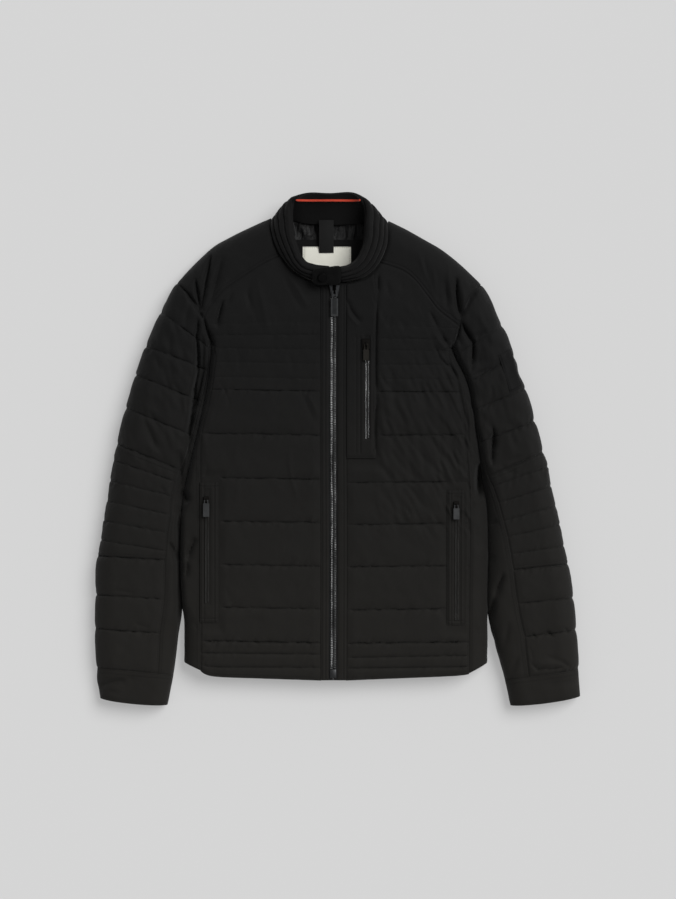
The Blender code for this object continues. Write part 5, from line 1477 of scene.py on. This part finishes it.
def tube(name, centre, radius, slot, sides=10):
    """A cord along a line, closed at both ends; radius gives its half width and its half height."""
    bpy.ops.mesh.primitive_cylinder_add(vertices=sides, radius=1.0, depth=1.0, end_fill_type="TRIFAN")
    piece = bpy.context.object
    only(piece)
    piece.name = name + "_cord"
    piece.data.name = piece.name
    ahead = unit(np.gradient(centre, axis=0))
    aside = unit(np.cross(ahead, np.array([0.0, 0.0, 1.0])))
    up = np.cross(aside, ahead)
    angle = np.arange(sides) * 2 * math.pi / sides
    ring = aside[:, None] * (radius[0] * np.cos(angle))[None, :, None]
    ring = ring + up[:, None] * (radius[1] * np.sin(angle))[None, :, None]
    taper = np.minimum(1.0, 0.45 + np.minimum(np.arange(len(centre)), np.arange(len(centre))[::-1]) * 0.3)
    points = centre[:, None] + ring * taper[:, None, None]
    faces = []
    for i in range(len(centre) - 1):
        for j in range(sides):
            k = (j + 1) % sides
            faces.append((i * sides + j, i * sides + k, (i + 1) * sides + k, (i + 1) * sides + j))
    last = (len(centre) - 1) * sides
    faces += [tuple(range(sides))[::-1], tuple(range(last, last + sides))]
    piece.data.clear_geometry()
    piece.data.from_pydata([tuple(p) for p in points.reshape(-1, 3) * MM], [], faces)
    uvs = piece.data.uv_layers.new(name="UVMap")
    corners = corners_of(piece.data)
    spots = np.stack([corners % sides * radius[0] * 0.63, corners // sides * 0.6], axis=-1) * MM
    uvs.data.foreach_set("uv", spots.astype(np.float32).ravel())
    finish(piece, slot, (name,))


def lining_height(x):
    """The lining lies on the back and climbs a little towards the neckline at its sides."""
    middle = (LINING["x"][0] + LINING["x"][1]) / 2
    reach = np.abs(x - middle) / 68.0
    return LINING["z"] + 7.0 * np.maximum(0.0, reach - 0.55) ** 1.5


def flat_skin(xs, ys, height):
    x, y = np.meshgrid(xs, ys)
    place = np.stack([x, y, height(x, y)], axis=-1)
    return place, np.broadcast_to(np.array([0.0, 0.0, 1.0]), place.shape)


def lining_gathers(x, y):
    """Upright gathers where the lining is eased into the collar seam, smoothing out below."""
    reach = np.clip((y - 308.0) / 16.0, 0, 1)
    folds = ripple(x / 5.5 + 0.05 * y, 2) * 1.6 + ripple(x / 2.8 - 0.06 * y, 5) * 0.8
    return reach * (folds + 1.1 * drift(x / 8.0, y / 9.0, 7))


def build_neck():
    rows = np.append(even((LINING["y"][0], 300.0), 10)[:-1], even((300.0, 349.0), 40))
    skin = flat_skin(even(LINING["x"], 100), rows, lambda x, y: lining_height(x))
    x, y = xy(skin)
    lift = THIN + np.maximum(lining_gathers(x, y), -1.0)
    cloth("neck_lining", skin, lift, "lining", 0.0, rolled=0.0, held="gathered", **LOOSE)
    height = lambda x, y: lining_height(x) + THIN + 0.4
    skin = flat_skin(even((LINING["x"][0] + 1, LINING["x"][1] - 1), 50), even((238.0, 316.0), 36), height)
    x, y = xy(skin)
    curve = 0.4 * drift(x / 26.0, y / 20.0, 22)
    cloth(
        "neck_facing", skin, curve + 1.0, "lining", curve, rolled=0.4, nodes=("neck_lining",),
        rests_on=("neck_lining",), sewn=[("last", (1.8,)), ("first", (1.8,))], pattern="collar_cloth",
        **LOOSE,
    )
    height = lambda x, y: lining_height(x) + THIN + 2.0
    skin = flat_skin(even(LABEL["x"], 60), even(LABEL["y"], 32), height)
    x, y = xy(skin)
    curve = 0.5 * drift(x / 30.0, y / 24.0, 12) + 0.4
    cloth(
        "label", skin, curve + 0.8, "label", curve, rolled=0.25, rests_on=("neck_lining",),
        sewn=all_round(1.5), **LOOSE,
    )
    half = HANGER["width"] / 2
    low, high = HANGER["y"]

    def loop_height(x, y):
        share = (y - low) / (high - low)
        return lining_height(x) + THIN + 3.4 + 4.0 * np.sin(math.pi * share) + 8.5 * share**3

    skin = flat_skin(even((HANGER["x"] - half, HANGER["x"] + half), 9), even((low, high), 40), loop_height)
    edge = 0.25 * np.cos((skin[0][..., 0] - HANGER["x"]) / half * math.pi)
    cloth(
        "hanger_loop", skin, 1.0 + edge, "loop", 0.0, rolled=0.2, rests_on=("neck_lining", "collar_inner"),
        held="hung", **LOOSE,
    )


TAB_LOW, TAB_RISE = 56.5, 11.0  # height of the collar tab's lower edge, and its rise up the collar
TAB_MIDDLE, TAB_HALF = -16.5, 21.5


def build_collar_tab():
    """The tab that crosses over the zip at the foot of the collar."""
    across, along = np.meshgrid(even((-1, 1), 40), even((-1, 1), 26))
    x = TAB_MIDDLE + TAB_HALF * across * (1 - 0.12 * along**6)
    row = 2 + 2 * along * (1 - 0.12 * across**6)
    y = 246 + 25 * row / 4.0 + 1.5 * row * (x + 18) / 40
    place = np.stack([x, y, TAB_LOW + TAB_RISE * row / 4.0], axis=-1)
    outward = np.broadcast_to(np.array([0.0, -0.4, 0.92]), place.shape)
    lift = 1.3 + 0.9 * drift(x / 9.0, row / 1.2, 5)
    cloth(
        "collar_tab", (place, outward), lift, "shell_plain", 0.0, rolled=0.8, sewn=all_round(1.8),
        pattern="tab_cloth", rests_on=("collar_outer",), **LOOSE,
    )


# ---------- zip, guards and pockets ----------


ZIP_TOP, ZIP_END = 249.0, -346.0  # where the guards and the tape start and end
HAND_SHIFT = 0.7  # the zip of a hand pocket runs this far beside its slider's line
CHEST_WELT = Box(30.6, -7.0, 57.0, 171.5)
CHEST_LINES = (27.0, 33.6, 52.0)
CHEST_TEETH = 43.5
CHEST_PANEL_TOP_X, CHEST_PANEL_LONG = 54.0, 260.0
WELT_WIDE, WELT_LONG = 27.0, 212.0


def strip_skin(line, offsets, ys):
    """Grid along the front, from offsets either side of a line that is read at each height on the page."""
    y, offset = np.meshgrid(ys, offsets, indexing="ij")
    x = line(y) + offset
    return top_skin(x, y), x, y


def build_zip():
    rows = even((ZIP_TOP, ZIP_END), (ZIP_TOP - ZIP_END) / 2.4)
    for side in SIDES:
        sign = SIGN[side]
        offsets = sign * even((TAPE_HALF, GUARD_OUTER[side] + 0.8), 14)
        skin, x, y = strip_skin(ZIP.x_at, offsets, rows)
        edge = 0.5 * ripple(y / 21.0, 3 if side == "right" else 4) + 0.2 * ripple(y / 6.0, 33)
        lift = 1.4 + soft_height(x, y) * 0.5 + edge * np.linspace(1.0, 0.2, 14)[None]
        cloth(
            "zip_guard_" + side, skin, lift, "shell_plain", -1.6, mitre=0.0, rolled=0.9,
            sewn=[("right", (1.8, 7.4) if side == "right" else (4.6,))], rests_on=("front_" + side,),
        )
        offsets = sign * even((0.1, TAPE_HALF + 1.5), 6)
        skin, x, y = strip_skin(ZIP.x_at, offsets, rows)
        cloth(
            "zip_tape_" + side, skin, -0.4, "zip_tape", -1.6, mitre=0.0, rolled=0.2,
            rests_on=("zip_guard_" + side,),
        )


def chest_edge(y):
    spots = sorted(CHEST_PANEL_EDGE, key=lambda spot: spot[1])
    pinch = 5.0 * np.exp(-(((y - 228.0) / 7.0) ** 2))
    return np.interp(y, [s[1] for s in spots], [s[0] for s in spots]) + 0.8 - pinch


def chest_height(x, y):
    """Relief of the chest panel: the sewn lines of its pocket and the sunk mouth of the zip."""
    within = np.clip((CHEST_WELT.y1 - y) / 2, 0, 1) * np.clip((y - CHEST_WELT.y0) / 2, 0, 1)
    lines = sum(np.exp(-(((x - line) / 0.9) ** 2)) for line in CHEST_LINES)
    mouth = np.clip((5.2 - np.abs(x - CHEST_TEETH)) / 1.0, 0, 1) * np.clip((y - CHEST_ZIP.y + 3) / 2, 0, 1)
    raised = 0.5 * np.clip((x - CHEST_LINES[1]) / 1.5, 0, 1) * np.clip((CHEST_LINES[2] - x) / 1.5, 0, 1)
    return within * (raised - 0.8 * lines - 1.5 * mouth)


def build_chest():
    neck = FRONT_NECK["left"]
    share, part = np.meshgrid(even((0, 1), CHEST_PANEL_LONG / FINE), even((0, 1), 40), indexing="ij")
    inner_x = guard_line("left", 240.0) + 1.0
    y_top = neck.y_at(inner_x + (CHEST_PANEL_TOP_X - inner_x) * part) - 4.0
    y = y_top + (CHEST_PANEL_EDGE[-1][1] - y_top) * share
    x = guard_line("left", y) + 1.0
    outer = np.minimum(chest_edge(y), CHEST_PANEL_TOP_X + 40.0 * share)
    x = x + (outer - x) * part
    low = LAY_GAP + soft_height(x, y)
    open_edge = 1.2 * part**3 * np.clip(1.4 - share, 0, 1)
    lift = low + THIN + 0.9 + open_edge + chest_height(x, y)
    cloth(
        "chest_panel", top_skin(x, y), lift, "shell_plain", low - 0.6, rolled=0.7,
        sewn=[("right", (1.8,)), ("last", (1.8,))], rests_on=("front_left",), **LOOSE,
    )
    for line in CHEST_LINES:
        y = even((CHEST_WELT.y1 - 2.0, CHEST_WELT.y0 + 2.0), 90)
        x = np.full_like(y, line)
        place, outward = top_skin(x, y)
        height = LAY_GAP + soft_height(x, y) + THIN + 0.9 + chest_height(x, y) - 0.1
        SEWN["chest_panel"].append((place + outward * height[:, None], outward))


def build_hand_pocket(side):
    """The stitched frame of a hand pocket."""
    welt = HAND_WELT[side]
    rows, columns = even((welt.y1, welt.y0), WELT_LONG / 1.5), even((welt.x0, welt.x1), WELT_WIDE)
    y, x = np.meshgrid(rows, columns, indexing="ij")
    low = LAY_GAP + soft_height(x, y)
    zip_x = HAND_ZIP[side].x + HAND_SHIFT
    ends = np.clip((welt.y1 - 8.0 - y) / 2, 0, 1) * np.clip((y - HAND_ZIP[side].y + 6.0) / 3, 0, 1)
    beside = np.abs(x - zip_x)
    mouth = -ends * (0.9 * np.clip((5.0 - beside) / 1.2, 0, 1) + 0.7 * np.exp(-(((beside - 5.2) / 0.8) ** 2)))
    tack = 0.8 * np.exp(-(((x - zip_x) / 3.5) ** 2 + ((y - welt.y0 - 13.0) / 4.0) ** 2))
    cloth(
        "hand_welt_" + side, top_skin(x, y), low + THIN + 0.6 + mouth + tack, "shell_plain", low - 0.6,
        rolled=1.0, rests_on=("front_" + side,), sewn=all_round(1.5, 6.0), **LOOSE,
    )


# ---------- small things in great number ----------


def many(name, shape, places, axes, look, nodes=()):
    """Copies of one small shape, joined into one mesh; axes gives each copy its three directions."""
    points = np.array([vertex.co for vertex in shape.data.vertices]) / MM
    faces = [tuple(face.vertices) for face in shape.data.polygons]
    spread = places[:, None, :] + np.einsum("nk,mkd->mnd", points, axes)
    count = len(points)
    copied = [tuple(corner + i * count for corner in face) for i in range(len(places)) for face in faces]
    mesh = shape.data.copy()
    mesh.clear_geometry()
    mesh.from_pydata([tuple(p) for p in spread.reshape(-1, 3) * MM], [], copied)
    piece = bpy.data.objects.new(name, mesh)
    mesh.name = name
    bpy.context.scene.collection.objects.link(piece)
    mesh.materials.clear()
    finish(piece, look, nodes)


def sized(wide, long, tall, bevel=0.0, steps=2):
    """The shape that was just added, at its size and with its edges rounded off."""
    shape = bpy.context.object
    only(shape)
    bpy.ops.object.mode_set(mode="EDIT")
    bpy.ops.mesh.select_all(action="SELECT")
    bpy.ops.transform.resize(value=(wide * MM, long * MM, tall * MM))
    if bevel:
        bpy.ops.mesh.bevel(offset=bevel * MM, segments=steps, affect="EDGES")
    bpy.ops.object.mode_set(mode="OBJECT")
    return shape


def stitch_shape():
    """One stitch: a short, slightly flattened bead of thread."""
    bpy.ops.mesh.primitive_ico_sphere_add(subdivisions=1, radius=1.0)
    return sized(1.25, 0.3, 0.26)


STITCH_STEP = 3.2


def sew():
    """Lays the stitches along every sewn line, one joined piece for each piece of cloth."""
    shape = stitch_shape()
    for name, found in SEWN.items():
        places, axes = [], []
        for points, way in found:
            run = np.concatenate([[0.0], np.cumsum(np.linalg.norm(np.diff(points, axis=0), axis=1))])
            if run[-1] < 2 * STITCH_STEP:
                continue
            marks = np.arange(STITCH_STEP * 0.6, run[-1] - STITCH_STEP * 0.5, STITCH_STEP)
            at = lambda values, far: np.stack([np.interp(far, run, part) for part in values.T], axis=-1)
            ahead = unit(at(points, marks + 1.0) - at(points, marks - 1.0))
            up = unit(at(way, marks))
            aside = unit(np.cross(up, ahead))
            places.append(at(points, marks) + up * 0.02)
            axes.append(np.stack([ahead, aside, np.cross(ahead, aside)], axis=1))
        if places:
            many(name + "_stitches", shape, np.concatenate(places), np.concatenate(axes), "thread")
    bpy.data.objects.remove(shape)


def tooth_shape(*sizes):
    bpy.ops.mesh.primitive_cube_add(size=1.0)
    return sized(*sizes)


STOP_Y = -336.0  # the bottom stop of the main zip
MAIN_PITCH, SMALL_PITCH = 2.6, 1.6  # from tooth to tooth on the main zip and on the pocket zips


def level_axes(outward):
    """Axes for shapes that sit square on a line down the front: X across, Y up the page, Z outwards."""
    across = unit(np.cross(np.array([0.0, 1.0, 0.0]), outward))
    return np.stack([across, np.cross(outward, across), outward], axis=1)


def lay_teeth(name, line, ends, pitch, shape, reach, height, look, node, dip):
    """Two rows of teeth that meet along a line, each row dipping towards it by so many degrees."""
    places, axes = [], []
    for row, sign in enumerate((-1.0, 1.0)):
        y = np.arange(ends[0] + row * pitch / 2, ends[1], pitch)
        x = line(y) + sign * reach
        (place, outward), height_here = top_skin(x, y), height(x, y)
        places.append(place + outward * height_here[:, None])
        across, up, square = level_axes(outward).transpose(1, 0, 2)
        uneven = 1 + 1.1 * ripple(y / 24.0, 6 + row) + 0.5 * ripple(y / 5.0, 8 + row)
        turn = -sign * np.radians(dip * uneven)[:, None]
        tilted = square * np.cos(turn) + across * np.sin(turn)
        axes.append(np.stack([across * np.cos(turn) - square * np.sin(turn), up, tilted], axis=1))
    many(name, shape, np.concatenate(places), np.concatenate(axes), look, (node,))
    bpy.data.objects.remove(shape)


def build_teeth():
    lay_teeth(
        "zip_teeth", ZIP.x_at, (-328.0, 240.0), MAIN_PITCH, tooth_shape(3.6, 1.8, 2.0, 0.4), 2.3,
        lambda x, y: 0.3 + 0.3 * ripple(y / 18.0, 41), "zip_metal", "zip_chain", 16.0,
    )
    place, outward = top_skin(ZIP.x_at(np.array([STOP_Y])), np.array([STOP_Y]))
    stop = tooth_shape(9.6, 13.0, 2.2, 0.6)
    axes = level_axes(outward)
    many("zip_stop", stop, place + outward * 0.3, axes, "dark_metal", ("zip_chain",))
    bpy.data.objects.remove(stop)
    lay_teeth(
        "chest_zip_teeth", lambda y: CHEST_TEETH + 0 * y, (CHEST_ZIP.y, 150.0), SMALL_PITCH,
        tooth_shape(2.4, 1.1, 1.2, 0.3, 1), 1.8, lambda x, y: LAY_GAP + THIN + 0.1 + soft_height(x, y),
        "chest_teeth", "chest_zip_chain", 26.0,
    )
    for side in SIDES:
        zip_x = HAND_ZIP[side].x + HAND_SHIFT
        lay_teeth(
            "hand_zip_teeth_" + side, lambda y: zip_x + 0 * y, (HAND_ZIP[side].y, HAND_SLIDER_Y[side] - 8),
            SMALL_PITCH, tooth_shape(2.9, 1.15, 1.1, 0.3, 1), 1.55,
            lambda x, y: LAY_GAP + THIN + soft_height(x, y),
            "coil", "hand_zip_chain_" + side, 10.0,
        )


HARDWARE_LOOKS = {
    "press_stud": "stud", "chest_slider": "hood", "chest_pull_tab": "chest_metal",
    "hand_right_slider": "hood", "hand_left_slider": "hood", "main_slider": "slider_metal",
    "main_pull_tab": "tab_metal",
}


def finish_hardware():
    """Sliders, pull tabs and the stud keep their own shapes and take the metal's finish."""
    for name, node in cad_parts.items():
        if name.endswith(("slider", "pull_tab")) or name == "press_stud":
            look = HARDWARE_LOOKS.get(name, "dark_metal")
            node.data.materials.clear()
            node.data.materials.append(LOOKS[look].material)


# ---------- the whole jacket ----------


def build():
    build_back()
    for side in SIDES:
        build_yoke(side)
        build_front(side)
        build_side(side)
        for name in SLEEVE_PIECES:
            build_sleeve_piece(name, side)
        build_under_sleeve(side)
        build_hand_pocket(side)
    build_collar()
    build_piping()
    build_neck()
    build_collar_tab()
    build_zip()
    build_chest()
    build_patch()
    build_teeth()
    sew()
    finish_hardware()
    for piece, flat, area, held, rests_on in SHEETS:
        area = min(area, flat[0] * flat[1])


# ---------- camera, light and floor ----------

IMAGE = (676, 899)
MM_PER_PIXEL = 1.5
CAMERA_HEIGHT = 5.0
TRUE_AT = 0.03  # height at which the scale holds
SENSOR = 36.0


def set_camera():
    """Straight above the jacket, with the picture's long side along the sensor."""
    bpy.ops.object.camera_add(location=(0.0, 0.0, CAMERA_HEIGHT + TRUE_AT), rotation=(0.0, 0.0, 0.0))
    camera = bpy.context.object
    camera.data.sensor_width = SENSOR
    camera.data.lens = SENSOR * CAMERA_HEIGHT / (IMAGE[1] * MM_PER_PIXEL * MM)
    bpy.context.scene.camera = camera


def set_light():
    """Soft light from the upper right over an even pale surround."""
    bpy.ops.object.light_add(type="SUN", location=(1.5, 1.5, 2.5))
    sun = bpy.context.object
    sun.rotation_euler = (math.radians(-24), math.radians(34), 0.0)
    sun.data.energy = 2.35
    sun.data.angle = math.radians(38)
    world = bpy.data.worlds.new("studio")
    bpy.context.scene.world = world
    world.use_nodes = True
    background = world.node_tree.nodes["Background"]
    background.inputs["Color"].default_value = (1.0, 1.0, 1.0, 1.0)
    background.inputs["Strength"].default_value = 0.35
    bpy.context.scene.view_settings.view_transform = "Standard"


def set_floor():
    bpy.ops.mesh.primitive_plane_add(size=16.0, location=(0.0, 0.0, 0.0))
    floor = bpy.context.object
    floor.name = "floor"
    floor.data.transform(floor.matrix_world)
    floor.data.materials.append(floor_look().material)
    for vertex in floor.data.vertices:
        vertex.co.z = -0.0006


set_camera()
set_light()
set_floor()
build()
